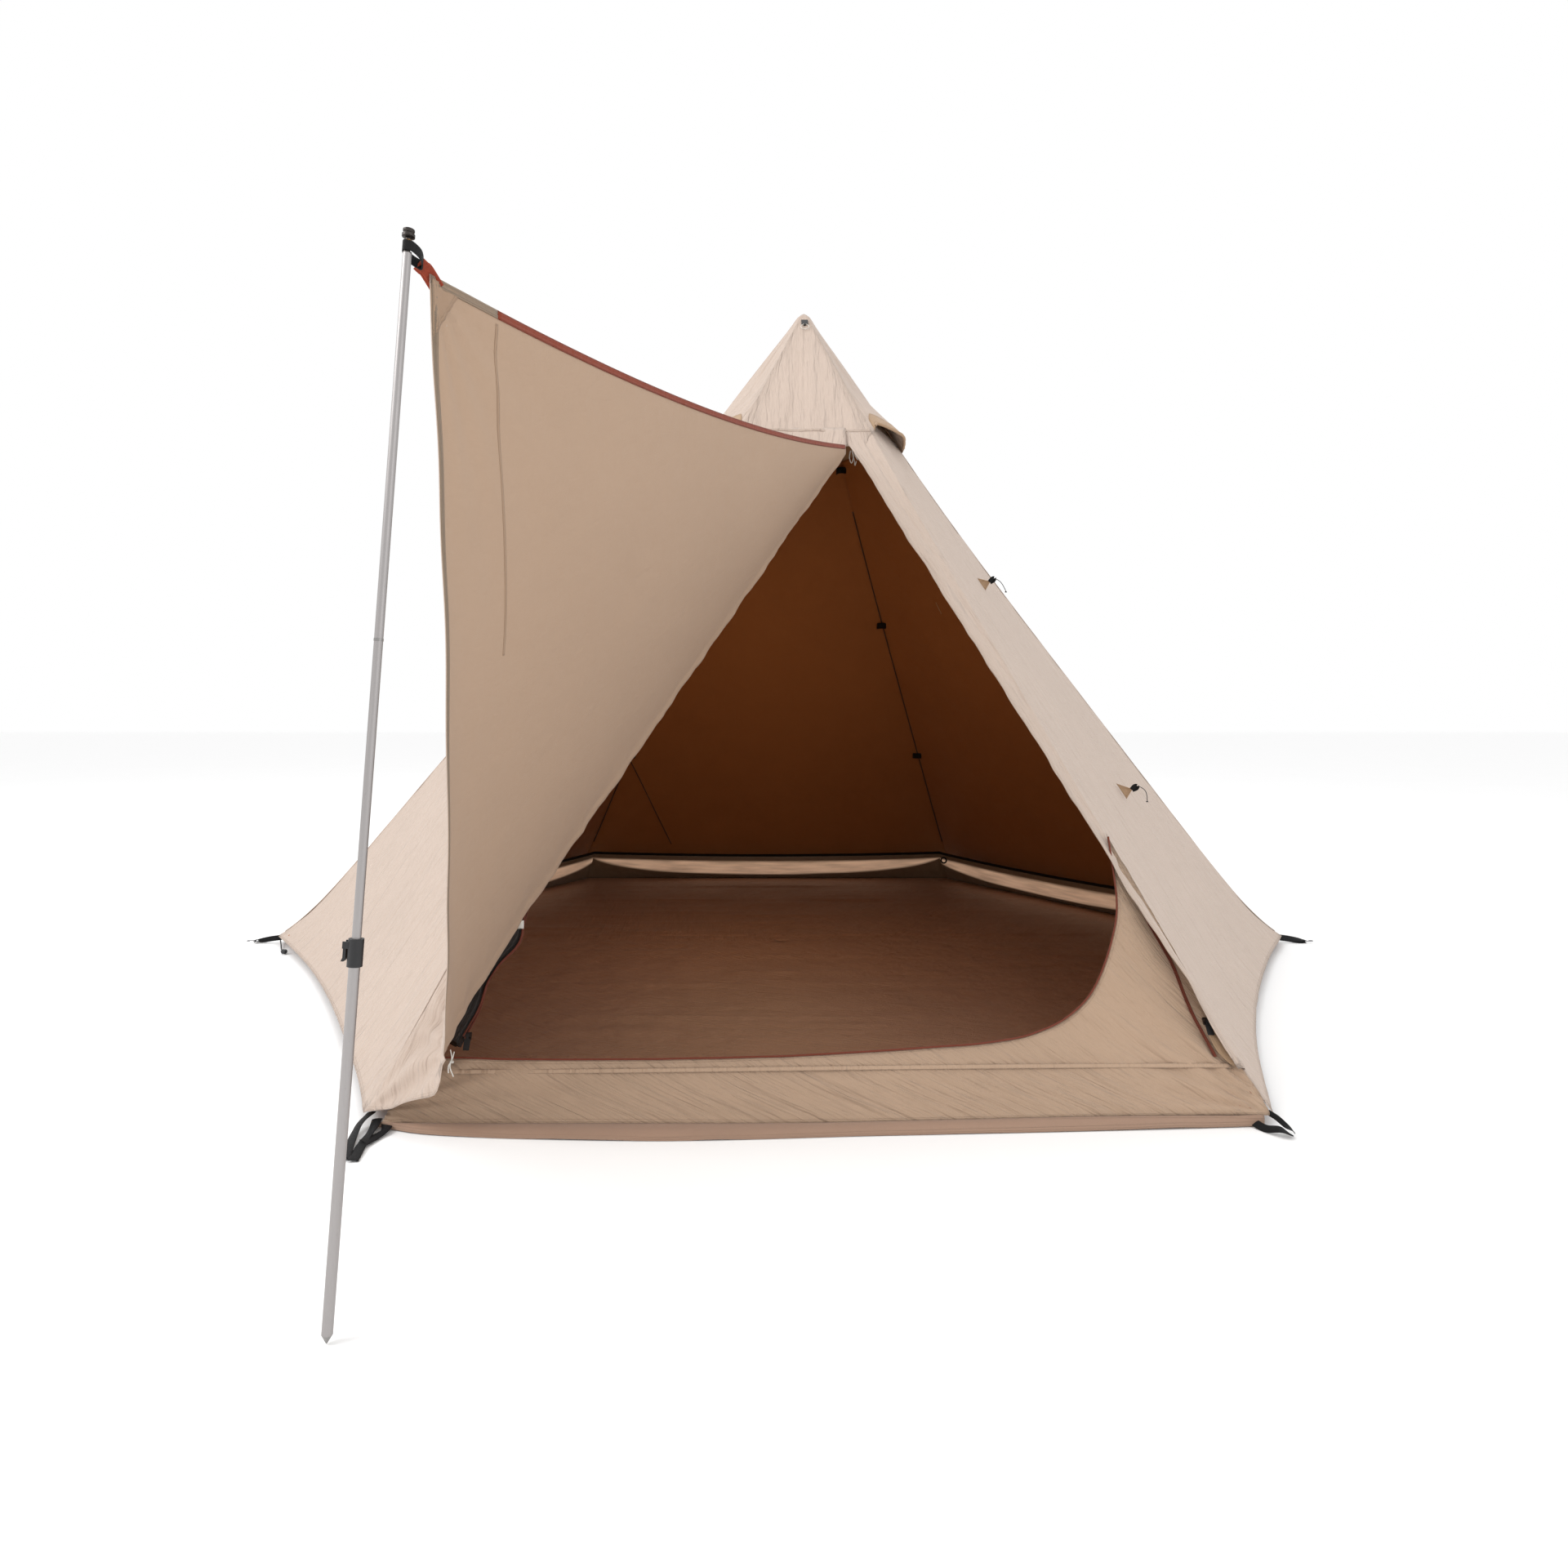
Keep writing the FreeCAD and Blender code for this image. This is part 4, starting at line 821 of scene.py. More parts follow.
wall_out = wall_out + 0.006 * np.exp(-corner_reach / 0.35) * np.sin(corner_turn * 24) * smooth(0, 0.1, corner_reach)
left_reach = np.hypot(wall_x + 1.0, wall_s)
left_turn = np.arctan2(wall_s, wall_x + 1.0)
wall_out = wall_out + 0.004 * np.exp(-left_reach / 0.4) * np.sin(left_turn * 30) * smooth(0, 0.1, left_reach)
surround = on_front(wall_x, wall_s, wall_out)
door_surround = cloth("door_surround", [surround], [LOWER, FLOOR], ("top", "bottom"), facing=FRONT_NORMAL)
finish_piece(door_surround, "lower_wall_fabric", "front_sill", "front_wall_right")

band_x = np.linspace(-0.90, 0.935, 160)
grid_x, seam_rows = np.meshgrid(band_x, np.linspace(0.081, 0.091, 4))
seam_rows = seam_rows + 0.014 * smooth(-0.9, 0.9, grid_x)
grid = on_front(grid_x, seam_rows, 0.0)
bulge = 0.0055 * noise2(grid_x * 2.2 + 3, seam_rows * 9, 11) + 0.0026
grid = grid + FRONT_NORMAL * bulge[..., None]
patch("sill_seam", grid, LOWER, "lower_wall_fabric", sewn=("top", "bottom"), facing=FRONT_NORMAL)

FLAP_TOP = 2.231
flap_s = np.linspace(FLAP_TOP + 0.07, 0.088, 205)
FLAP_EDGE = ([0.088, 0.128, 0.183, 0.72, FLAP_TOP], [0.943, 0.922, 0.902, 0.742, 0.222])
left_x = np.interp(flap_s, *FLAP_EDGE)
left_x = left_x + 0.004 * noise1(flap_s / 0.11, 21) + 0.0025 * noise1(flap_s / 0.04, 22)
columns = np.linspace(0, 1, 26) ** 1.5
flap_down = 1 - (flap_s * SLOPE_RISE / SLOPE) / SLOPE_RISE
right_line = seam("front_right", flap_down) + unit(FRONT_NORMAL + face_normal("front_right", "right")) * 0.0030
open_low = smooth(0.75, 0.22, flap_s)
loose = 0.006 + 0.016 * open_low * smooth(0.10, 0.30, flap_s) + 0.012 * open_low
under_cap = smooth(2.10, 2.21, flap_s)
loose = loose + 0.004 * noise1(flap_s / 0.13, 23)
loose = loose + 0.010 * smooth(0.36, 0.26, flap_s) * smooth(0.085, 0.125, flap_s)
left_line = on_front(left_x, flap_s, loose * (1 - under_cap) + 0.0015 * under_cap)
flap_grid = left_line[:, None] + (right_line - left_line)[:, None] * columns[None, :, None]
ease = noise2(columns[None, :] * 2.2 + flap_s[:, None] * 0, flap_s[:, None] / 0.21, 24)
hump = 0.010 * open_low[:, None] * np.sin(np.pi * columns)[None, :]
flap_grid = flap_grid + FRONT_NORMAL * (0.004 * ease * np.sin(np.pi * columns) + hump)[..., None]
# the flap wraps the corner seam and is felled into the right-hand panel
right_normal = face_normal("front_right", "right")
right_face = face_grid("front_right", "right", panel_downs, 36)
for k, lift in ((1, 0.0027), (2, 0.0022), (3, 0.0010), (4, -0.0014)):
    column = sample(flap_down, panel_downs, right_face[:, k])
    flap_grid = np.concatenate([flap_grid, (column + right_normal * lift)[:, None]], 1)
flap = cloth("zip_flap", [flap_grid], [SHELL, TAN], ("left", "bottom"), facing=FRONT_NORMAL)
finish_piece(flap, "shell_fabric", "door_zip_flap")

roll_line = left_line + FRONT_NORMAL * 0.0005
rod("flap_hem_roll", roll_line[flap_s < 2.15][:-2], 0.0022, SHELL, 8, "shell_fabric")

pocket_s, pocket_x = np.meshgrid(np.linspace(0.178, 0.096, 18), np.linspace(0, 1, 12), indexing="ij")
pocket_left = 0.011 * np.sin(np.pi * (pocket_s - 0.088) / 0.095)
pocket_at = on_front(np.interp(pocket_s, *FLAP_EDGE) - pocket_left + (pocket_left + 0.016) * pocket_x, pocket_s,
                     0.008 + 0.003 * np.sin(np.pi * pocket_x))
pocket = cloth("flap_lining_pocket", [pocket_at], [TAN, TAN], ("left", "bottom", "right"), facing=FRONT_NORMAL)
finish_piece(pocket, "shell_fabric")

lining_s = np.linspace(0.60, 0.118, 60)
lining_x = np.interp(lining_s, [0.115, 0.72], [0.905, 0.742])
covered = np.interp(lining_s, *FLAP_EDGE) + 0.010
lining_x = lining_x + (covered - lining_x) * smooth(0.20, 0.36, lining_s)
tape_rows = np.linspace(0, 1, 5)
behind = 0.0050 * smooth(0.22, 0.29, lining_s)
tape = on_front(lining_x[:, None] - 0.004 + 0.008 * tape_rows, lining_s[:, None] + 0 * tape_rows,
                (0.0062 - behind + 0.0008 * noise1(lining_s / 0.08, 31))[:, None])
patch("outer_zip_tape", tape, RUST_PAINTED_SHADE, "rust_binding", thick=0.001, facing=FRONT_NORMAL)


def zip_coil(name, line, radius=0.0018, pitch=0.0042):
    """Zip teeth as one fine coil."""
    line = np.asarray(line)
    run = travel(line)
    want = np.linspace(0, run[-1], int(run[-1] / pitch * 6))
    path = sample(want, run, line)
    _, u, v = frames_along(path)
    turn = want / pitch * 2 * math.pi
    path = path + (u * np.cos(turn)[:, None] + v * np.sin(turn)[:, None]) * radius
    return tube(name, path, 0.0007, [RUST_PAINTED_SHADE], 5)


coil = zip_coil("outer_zip_coil", on_front(lining_x - 0.0035, lining_s, 0.0072 - behind), 0.0012)
finish_piece(coil, "rust_binding")


# ---------------------------------------------------------------- door panel raised as an awning

DOOR_TOP = on_front(0.222, 2.231)
FOOT_LEFT = CORNERS["front_left"]
FOLD_FOOT = vec(-0.795, -1.842, 0.170)
TIP = vec(-0.655, -2.372, 1.576)
PANEL_RUN = 3.1
EDGE_SAG = 0.052
BILLOW = 0.028
HEM_LINE = spline([FOLD_FOOT, (-0.768, -1.905, 0.310), (-0.722, -2.050, 0.720), (-0.683, -2.211, 1.142), TIP], 400)
AWNING_NORMAL = unit(np.cross(TIP - DOOR_TOP, FOOT_LEFT - DOOR_TOP))
AWNING_NORMAL = AWNING_NORMAL * np.sign(AWNING_NORMAL[2])


def fold(share):
    """Line along which the lifted door panel turns back from the tent."""
    share = np.asarray(share, float)
    line = mix(DOOR_TOP, FOOT_LEFT, share)
    line = line + vec(1, 0, 0) * (0.060 * share ** 1.5 * (1 - share ** 12))[..., None]
    return line + (FOLD_FOOT - FOOT_LEFT) * (share ** 14)[..., None]


def free_edge(share):
    share = np.asarray(share, float)
    return mix(DOOR_TOP, TIP, share) - vec(0, 0, 1) * (EDGE_SAG * 4 * share * (1 - share))[..., None]


def hem_at(across):
    return sample(across, np.linspace(0, 1, len(HEM_LINE)), HEM_LINE)


def awning_at(share, across):
    straight = mix(fold(share), free_edge(share), across)
    pull = hem_at(across) - mix(FOLD_FOOT, TIP, across)
    sag = BILLOW * 16 * share * (1 - share) * across * (1 - across)
    return straight + pull * (share ** 5)[..., None] - AWNING_NORMAL * sag[..., None]


STRIP_COLUMNS = 26
AWNING_COLUMNS = 110
panel_share = np.concatenate([np.linspace(0.025, 0.86, 130, endpoint=False), np.linspace(0.86, 1.0, 46)])
start_down = 1 - (fold(panel_share)[:, 2] - HEM) / SLOPE_RISE
start_down = start_down + (1 - start_down) * smooth(0.9, 1.0, panel_share)
seam_line = seam("front_left", np.minimum(start_down, 1.0))
fold_line = fold(panel_share)
wave = 0.0050 * noise1(panel_share / 0.028, 41) + 0.0030 * noise1(panel_share / 0.011, 42)
wave = wave * smooth(0.02, 0.15, panel_share)
fold_line = fold_line + vec(1, 0, 0) * wave[:, None]

strip_cols = np.linspace(0, 1, STRIP_COLUMNS)
strip = seam_line[:, None] + (fold_line - seam_line)[:, None] * strip_cols[None, :, None]
low = smooth(0.80, 1.0, panel_share)[:, None]
hem_drop = spline([(0, 0, 0), (0.07, 0.003, 0), (0.34, 0.026, 0), (0.55, 0.033, 0), (0.86, 0.050, 0), (0.95, 0.034, 0),
                   (1, 0, 0)], 200)
hem_sag = np.interp(strip_cols, hem_drop[:, 0], hem_drop[:, 1]) * panel_share[:, None] ** 24
strip = strip - vec(0, 0, 1) * hem_sag[..., None]
drape = 0.006 * noise2(strip_cols[None, :] * 4 + low * 0, panel_share[:, None] * 46, 43) * low
for spot, size, reach_out, folds, phase in ((FOLD_FOOT, 0.013, 0.30, 12.0, 0.6), (FOOT_LEFT, 0.010, 0.34, 17.0, 1.9)):
    away = strip - spot
    reach = np.linalg.norm(away, axis=-1)
    turned = np.arctan2(away[..., 2], np.abs(away[..., 0]) + 1e-6)
    drape = drape + size * np.exp(-reach / reach_out) * (1 - np.exp(-reach / 0.05)) * np.sin(turned * folds + phase)
drape = drape * np.sin(np.pi * strip_cols)[None, :] ** 0.6
strip = strip + unit(vec(-0.45, -0.8, 0.4)) * drape[..., None]

awning_cols = np.linspace(0, 1, AWNING_COLUMNS)
S, A = np.meshgrid(panel_share, awning_cols, indexing="ij")
awning = awning_at(S, A)
awning = awning + vec(1, 0, 0) * (wave[:, None] * (1 - smooth(0, 0.12, awning_cols))[None, :])[..., None]
wide = np.linalg.norm(free_edge(S) - fold(S), axis=-1)
metres = A * wide
tension = 0.0022 * noise2(metres / 0.30 + 3, S * PANEL_RUN / 0.9, 44) * np.sin(np.pi * A)
hem_folds = 0.0016 * np.exp(-(1 - S) * PANEL_RUN / 0.20) * np.sin(metres * 19 + 2.2 * noise2(metres * 2, S * 4, 45))
tip_turn = np.arctan2((1 - S) * PANEL_RUN, (1 - A) * wide + 1e-6)
tip_reach = np.hypot((1 - S) * PANEL_RUN, (1 - A) * wide)
tip_fan = 0.0035 * np.exp(-tip_reach / 0.4) * (1 - np.exp(-tip_reach / 0.05)) * np.sin(tip_turn * 16)
crease_pucker = 0.003 * np.exp(-metres / 0.05) * noise2(S * PANEL_RUN / 0.05, metres / 0.04, 46)
foot_folds = 0.006 * np.exp(-((1 - S) * PANEL_RUN + metres) / 0.22) * np.sin((1 - S) * PANEL_RUN * 40 + metres * 12)
foot_folds = foot_folds * smooth(0, 0.03, metres) * smooth(0, 0.03, (1 - S) * PANEL_RUN)
awning = awning + AWNING_NORMAL * (tension + hem_folds * smooth(0, 0.06, metres) + tip_fan + crease_pucker
                                   + foot_folds)[..., None]
awning[:, 0] = strip[:, -1]
bend = 0.010 * np.exp(-((metres / 0.02) ** 2)) * smooth(0.0, 0.004, metres)
awning = awning + vec(1, 0, 0) * bend[..., None]
door_panel = cloth("door_panel", [strip, awning], [SHELL, AWNING_UNDERSIDE_PAINTED_SHADE], ("bottom", "right"), facing=AWNING_NORMAL)
finish_piece(door_panel, "awning_fabric", "awning_panel", "front_wall_left")
head_s = np.linspace(2.33, 2.13, 12)
head_right = fold(np.clip(1 - head_s / FLAP_TOP, 0, 1))[:, 0] - 0.008
head_left = front_edge(-1, head_s) + 0.004
head_x = head_left[:, None] + (head_right - head_left)[:, None] * np.linspace(0, 1, 24)
head = on_front(head_x, head_s[:, None] + 0 * head_x, -0.0030)
patch("door_head", head, SHELL, "shell_fabric", sewn=("left", "bottom"), facing=FRONT_NORMAL)


def on_panel(share, across, lift):
    """Point on the sewn panel's underside, at a height off the cloth."""
    share, across = np.broadcast_arrays(np.asarray(share, float), np.asarray(across, float))
    row = np.interp(share, panel_share, np.arange(len(panel_share)))
    col = across * (AWNING_COLUMNS - 1)
    r = np.clip(row.astype(int), 0, len(panel_share) - 2)
    c = np.clip(col.astype(int), 0, AWNING_COLUMNS - 2)
    fr, fc = (row - r)[..., None], (col - c)[..., None]
    point = (awning[r, c] * (1 - fr) * (1 - fc) + awning[r + 1, c] * fr * (1 - fc)
             + awning[r, c + 1] * (1 - fr) * fc + awning[r + 1, c + 1] * fr * fc)
    return point - AWNING_NORMAL * (CLOTH + np.asarray(lift))[..., None]


# tape along the free edge: rust where the zip was, greige beyond the facing seam
edge_share = np.linspace(0.028, 0.992, 170)
edge_wide = np.linalg.norm(free_edge(edge_share) - fold(edge_share), axis=-1)
rows = []
for inset, ridge in ((0.0140, 0.0), (0.0115, 0.0010), (0.0080, 0.0012), (0.0072, 0.0002), (0.0040, 0.0014),
                     (0.0010, 0.0010), (0.0, 0.0)):
    rows.append(on_panel(edge_share, 1 - np.minimum(inset / edge_wide, 0.96), 0.0012 + ridge + 0 * edge_share))
edge_grid = np.stack(rows, 1)
RUST_END = 0.924
rust_rows = edge_share <= RUST_END
greige_rows = edge_share >= RUST_END - 0.004
patch("awning_binding", edge_grid[rust_rows], RUST, "rust_binding", "awning_edge_binding", thick=0.0034,
      facing=-AWNING_NORMAL)
patch("awning_edge_tape", edge_grid[greige_rows] + AWNING_NORMAL * 0.0003, GREIGE, "awning_fabric", thick=0.0036,
      facing=-AWNING_NORMAL)


def underside_tape(name, shares, gap, half, lift, material, thick=0.0009):
    """Tape on the awning's underside that runs at a distance from the hem, from the fold to the free edge."""
    columns = []
    for offset in (-half, -half * 0.4, half * 0.4, half):
        share = 1 - (gap + offset) / PANEL_RUN
        share = np.clip(share, 0, 0.9995) + 0 * shares
        columns.append(on_panel(share, shares, np.array(lift)))
    grid = np.stack(columns, 1)
    return cloth(name, [grid], [material, material], ("left", "right"), thick, -AWNING_NORMAL)


across_line = np.linspace(0.012, 0.994, 150)
hem_tape = underside_tape("awning_hem_tape", across_line, 0.011, 0.009, 0.0013, GREIGE)
finish_piece(hem_tape, "awning_fabric")
facing_line = np.linspace(0.58, 0.985, 110)
facing_gap = 0.235 + 0.080 * smooth(1.0, 0.60, facing_line)
facing_seam = underside_tape("awning_facing_seam", facing_line, facing_gap, 0.0050, 0.0006, FACING)
finish_piece(facing_seam, "awning_fabric")

patch_share = np.linspace(0.9705, 0.9985, 14)
patch_rows = []
for k, s in enumerate(patch_share):
    reach = 0.105 * (k + 2) / 15
    patch_rows.append(on_panel(np.full(12, s), np.linspace(1 - reach / 1.75, 0.997, 12), np.array(0.0014)))
patch("awning_corner_patch", np.array(patch_rows), FACING, "awning_fabric", sewn=("left", "top"), thick=0.0009,
      facing=-AWNING_NORMAL)

# skirt between the front hem and the ground
skirt_x = np.linspace(-0.975, 0.975, 220)
skirt_edge = spline([(-0.975, -1.742, 0.001), (-0.80, -1.790, 0.001), (-0.35, -1.814, 0.001), (0.10, -1.790, 0.001),
                     (0.541, -1.768, 0.001), (0.975, -1.742, 0.001)], 220)
hem_row = surround[-1]
hem_row = hem_row[:int(np.argmax(along_hem >= 1))]
skirt_top = np.stack([skirt_x, np.interp(skirt_x, hem_row[:, 0], hem_row[:, 1]) - 0.0012,
                      np.interp(skirt_x, hem_row[:, 0], hem_row[:, 2]) + 0.0015], -1)
skirt_rows = np.linspace(0, 1, 14)
skirt = skirt_top[None] + (skirt_edge - skirt_top)[None] * skirt_rows[:, None, None]
flutter = 0.004 * noise2(skirt_x[None] * 9, skirt_rows[:, None] * 2, 51)
belly = 0.007 * np.sin(np.pi * skirt_rows)[:, None] + flutter * skirt_rows[:, None]
skirt = skirt + vec(0, -0.3, 1) * np.maximum(belly, 0)[..., None]
apron = patch("ground_skirt", skirt, SKIRT, "lower_wall_fabric", "front_apron", sewn=("top", "bottom"),
              thick=0.0014, facing=vec(0, -0.6, 0.8))


# ---------------------------------------------------------------- peak cap with its two vent hoods

CAP_LIFT = 0.006
HOODED = {("front_right", "right"), ("left", "front_left")}
CAP_FACES = [("front_left", "front_right")] + SIDE_FACES
HEMS = [0.262, 0.218, 0.228, 0.228, 0.228, 0.218]
HOOD_START = 0.140
HOOD_REACH = 0.066
rows = np.linspace(0, 1, 84) ** 0.85
patches = []
lips = []
for k, (left, right) in enumerate(CAP_FACES):
    across = np.linspace(0, 1, 31)
    before = (HEMS[k] + HEMS[k - 1]) / 2
    after = (HEMS[k] + HEMS[(k + 1) % 6]) / 2
    hem = HEMS[k] + (before - HEMS[k]) * (1 - smooth(0, 0.1, across)) + (after - HEMS[k]) * smooth(0.9, 1.0, across)
    down = 0.0012 + (hem[None] - 0.0012) * rows[:, None]
    share = across[None] + 0 * down
    normal = face_normal(left, right)
    lift = np.full(down.shape, CAP_LIFT)
    centre = np.sin(np.pi * share)
    points = face_point(left, right, down, share)
    side_left = face_normal(*CAP_FACES[k - 1])
    side_right = face_normal(*CAP_FACES[(k + 1) % 6])
    near_left = (1 - smooth(0, 0.08, across))[None, :, None] * 0.5
    near_right = smooth(0.92, 1, across)[None, :, None] * 0.5
    out = unit(normal * (1 - near_left - near_right) + side_left * near_left + side_right * near_right)
    radial = 0.0105 * noise2(share * 7 + k * 13, down * 3, 61) * smooth(0.02, 0.12, down) * centre
    radial = radial + 0.0042 * noise2(share * 19 + k * 7, down * 6, 62) * smooth(0.02, 0.1, down) * centre
    points = points + out * (lift + radial)[..., None]
    if (left, right) in HOODED:
        flare = np.clip((down - HOOD_START) / (0.218 - HOOD_START), 0, 1) ** 1.15
        reach = HOOD_REACH * np.sin(np.pi * share) ** 0.8 * flare
        points = points + unit(normal * vec(1, 1, 0)) * reach[..., None]
        band = points[-9:, 1:-1] + unit(normal * vec(1, 1, 0.3)) * 0.0016
        lining = points[-17:, 1:-1] - unit(normal * vec(1, 1, 0.3)) * 0.0034
        lips.append((points[-1, 2:-2] - vec(0, 0, 0.002), band, lining))
    points[..., 2] -= 0.004 * np.exp(-down / 0.006)
    fall = down * SLOPE_RISE
    aside = (points - PEAK) * vec(1, 1, 0)
    reach = np.maximum(np.linalg.norm(aside, axis=-1), 1e-5)
    rounded = np.sqrt(reach ** 2 + 0.040 * fall * np.exp(-fall / 0.03))
    points = points + aside * (rounded / reach - 1)[..., None]
    patches.append(points)
cap = cloth("peak_skin", patches, [SHELL, TAN], ("left", "right", "bottom"), closed=True)
finish_piece(cap, "shell_fabric", "peak_cap", "vent_hood_right", "vent_hood_left")
tip_line = spline([PEAK + vec(0, 0, -0.004), PEAK + vec(0, 0, 0.001), PEAK + vec(0, 0, 0.0045)], 6)
rod("peak_tip", tip_line, np.array([0.0085, 0.0082, 0.0072, 0.0055, 0.003, 0.0006]), SHELL, 16, "shell_fabric")
hem_share = np.linspace(0.0, 1.0, 120)
hem_downs = np.array([0.2375, 0.2350, 0.2340, 0.2335])
grid_down, grid_share = np.meshgrid(hem_downs, hem_share, indexing="ij")
hem_grid = face_point("front_left", "front_right", grid_down, grid_share)
hem_bump = 0.0105 * noise2(grid_share * 7, grid_down * 3, 61) + 0.0042 * noise2(grid_share * 19, grid_down * 6, 62)
hem_grid = hem_grid + FRONT_NORMAL * (CAP_LIFT + 0.0016 + hem_bump * np.sin(np.pi * grid_share))[..., None]
patch("peak_hem_fold", hem_grid, SHELL, "shell_fabric", sewn=("top", "bottom"), thick=0.0016, facing=FRONT_NORMAL)
for side, (line, band, lining) in zip(("right", "left"), lips):
    rod(f"hood_lip_{side}", spline(line, 70), 0.0055, TAN, 10, "shell_fabric")
    patch(f"hood_band_{side}", band, TAN, "shell_fabric", sewn=("top", "bottom"), thick=0.0010)
    patch(f"hood_lining_{side}", lining, SHELL, "shell_fabric", sewn=("top", "bottom"), thick=0.0010)

nets = []
for left, right in (("front_right", "right"), ("left", "front_left")):
    nets.append(face_grid(left, right, np.linspace(0.161, 0.203, 14), 40, 0.0, 0.4))
for side, net in zip(("right", "left"), nets):
    patch(f"vent_net_{side}", net, VENT_NET, "mesh_fabric", "vent_mesh", thick=0.0008)


# ---------------------------------------------------------------- groundsheet

FLOOR_SHARE = 0.925
TUB_SHARE = 0.882
TUB_HEIGHT = 0.15


def tub_corner(corner, share, front, height):
    foot = CORNERS[corner]
    if corner.startswith("front"):
        return vec(math.copysign(front[0], foot[0]), front[1], height)
    return vec(foot[0] * share, foot[1] * share, height)


floor_ring = np.array([tub_corner(c, FLOOR_SHARE, (0.955, -1.680), 0.0026) for c in RING])
edge_points = []
for a, b in zip(floor_ring, np.roll(floor_ring, -1, 0)):
    edge_points.append(a + (b - a) * np.linspace(0, 1, 44, endpoint=False)[:, None])
edge_points = np.concatenate(edge_points)
rings = np.concatenate([[0.0006], np.linspace(0.012, 1.0, 109) ** 0.8])
floor_grid = vec(0, 0, 0.0026) + (edge_points - vec(0, 0, 0.0026))[None] * rings[:, None, None]
x, y = floor_grid[..., 0], floor_grid[..., 1]
ripples = 0.0032 * (0.5 + 0.5 * noise2(x * 3.2, y * 6.5, 71)) + 0.0046 * np.abs(noise2(x * 2.1 + 5, y * 17, 72))
creases = 0
for at in (-1.32, -0.98, -0.62, -0.25, 0.12, 0.5, 0.88, 1.25):
    creases = creases + np.exp(-((y - at - 0.012 * noise2(x * 2, y * 0, 73)) / 0.011) ** 2)
floor_grid[..., 2] += (ripples + 0.0036 * creases) * smooth(1.0, 0.9, rings)[:, None] * 1.2
floor_grid = np.concatenate([floor_grid, floor_grid[:, :1]], 1)
ground = cloth("groundsheet", [floor_grid], [FLOOR, FLOOR], (), 0.0016, vec(0, 0, 1), closed=True)
finish_piece(ground, "floor_fabric", "groundsheet_floor")

tub_patches = []
for left, right in SIDE_FACES:
    low_a, low_b = (tub_corner(c, FLOOR_SHARE - 0.003, (0.952, -1.676), 0.003) for c in (left, right))
    top_a, top_b = (tub_corner(c, TUB_SHARE, (0.90, -1.60), TUB_HEIGHT) for c in (left, right))
    across = np.linspace(0, 1, 60)
    up = np.linspace(0, 1, 22)[:, None]
    low_line = low_a + (low_b - low_a) * across[:, None]
    top_line = top_a + (top_b - top_a) * across[:, None]
    grid = top_line[None] + (low_line - top_line)[None] * up[..., None]
    inward = -unit((low_a + low_b) * vec(1, 1, 0))
    sagging = 0.030 * np.sin(np.pi * up) * np.sin(np.pi * across) ** 0.6
    sagging = sagging + 0.006 * noise2(across[None] * 9 + up * 0, up * 2.5, 75) * np.sin(np.pi * up)
    sagging = sagging + 0.024 * np.sin(np.pi * across) ** 0.5 * (1 - up)
    grid = grid + inward * sagging[..., None]
    drop = 0.012 * np.sin(np.pi * across)[None] * (1 - up)
    grid[..., 2] -= drop
    tub_patches.append(grid)
tub = cloth("groundsheet_tub", tub_patches, [FLOOR, TUB_PAINTED_DAYLIGHT], ("top",), 0.0016)
finish_piece(tub, "floor_fabric", "groundsheet_wall")
for k, wall in enumerate(tub_patches):
    rod(f"tub_edge_cord_{k}", spline(wall[0] + vec(0, 0, 0.002), 60), 0.0070, BLACK_WEB, 8, "webbing")


eyelet_turn = np.linspace(0, 2 * math.pi, 40, endpoint=False)
eyelet = np.stack([0.014 * np.cos(eyelet_turn), 0.004 * np.sin(eyelet_turn), 0.014 * np.sin(eyelet_turn)], -1)
eyelet = vec(0.965, 1.435, 0.118) + eyelet
rod("tub_eyelet_cord", eyelet, 0.0042, BLACK_WEB, 8, "cord", closed=True)
for corner in ("right", "back_right", "back_left", "left"):
    inside = seam(corner, np.linspace(0.28, 0.925, 90)) - unit(CORNERS[corner] * vec(1, 1, 0)) * 0.0055
    rod(f"inner_seam_{corner}", inside, 0.0030, INNER_DARK_LINE, 8, "shell_fabric")
# thin dark line drawn down the inside of the rear panel, in its left half, from 0.865 m high to 0.201 m
rear = face_grid("back_right", "back_left", panel_downs, 36)
rear_share = np.linspace(0, 1, 40)
rear_x, rear_z = -0.800 + 0.272 * rear_share, 0.865 - 0.664 * rear_share
rear_line = []
for at_x, at_z in zip(rear_x, rear_z):
    row = int(np.argmin(np.abs(rear[:, 18, 2] - at_z)))
    column = int(np.argmin(np.abs(rear[row, :, 0] - at_x)))
    if 2 <= column <= 33:
        rear_line.append(vec(at_x, rear[row, column, 1] - 0.006, at_z))
rod("rear_panel_dark_line", spline(rear_line[::4], 60), 0.0026, INNER_DARK_LINE, 8, "shell_fabric")


# ---------------------------------------------------------------- gathered mesh door and its piping

roll_low = on_front(-0.880, 0.185, -0.080)
roll_high = on_front(-0.040, 2.050, -0.075)
count, sides = 150, 44
s = np.linspace(0, 1, count)
line = roll_low + (roll_high - roll_low) * s[:, None]
tucked = 0.012 - 0.026 * np.exp(-((s - 0.130) / 0.021) ** 2) + 0.058 * smooth(0.16, 0.24, s) * smooth(1.1, 0.5, s)
tucked = tucked - 0.020 * smooth(0.085, 0.035, s)
line = line + vec(1, 0, 0) * (0.006 * noise1(s * 7, 81) - tucked)[:, None]
angle = np.linspace(0, 2 * math.pi, sides, endpoint=False)
tied = 1 - 0.22 * np.exp(-((s - 0.42) / 0.02) ** 2) - 0.18 * np.exp(-((s - 0.12) / 0.015) ** 2)
size = (0.040 + (0.014 - 0.040) * s ** 0.6) * tied
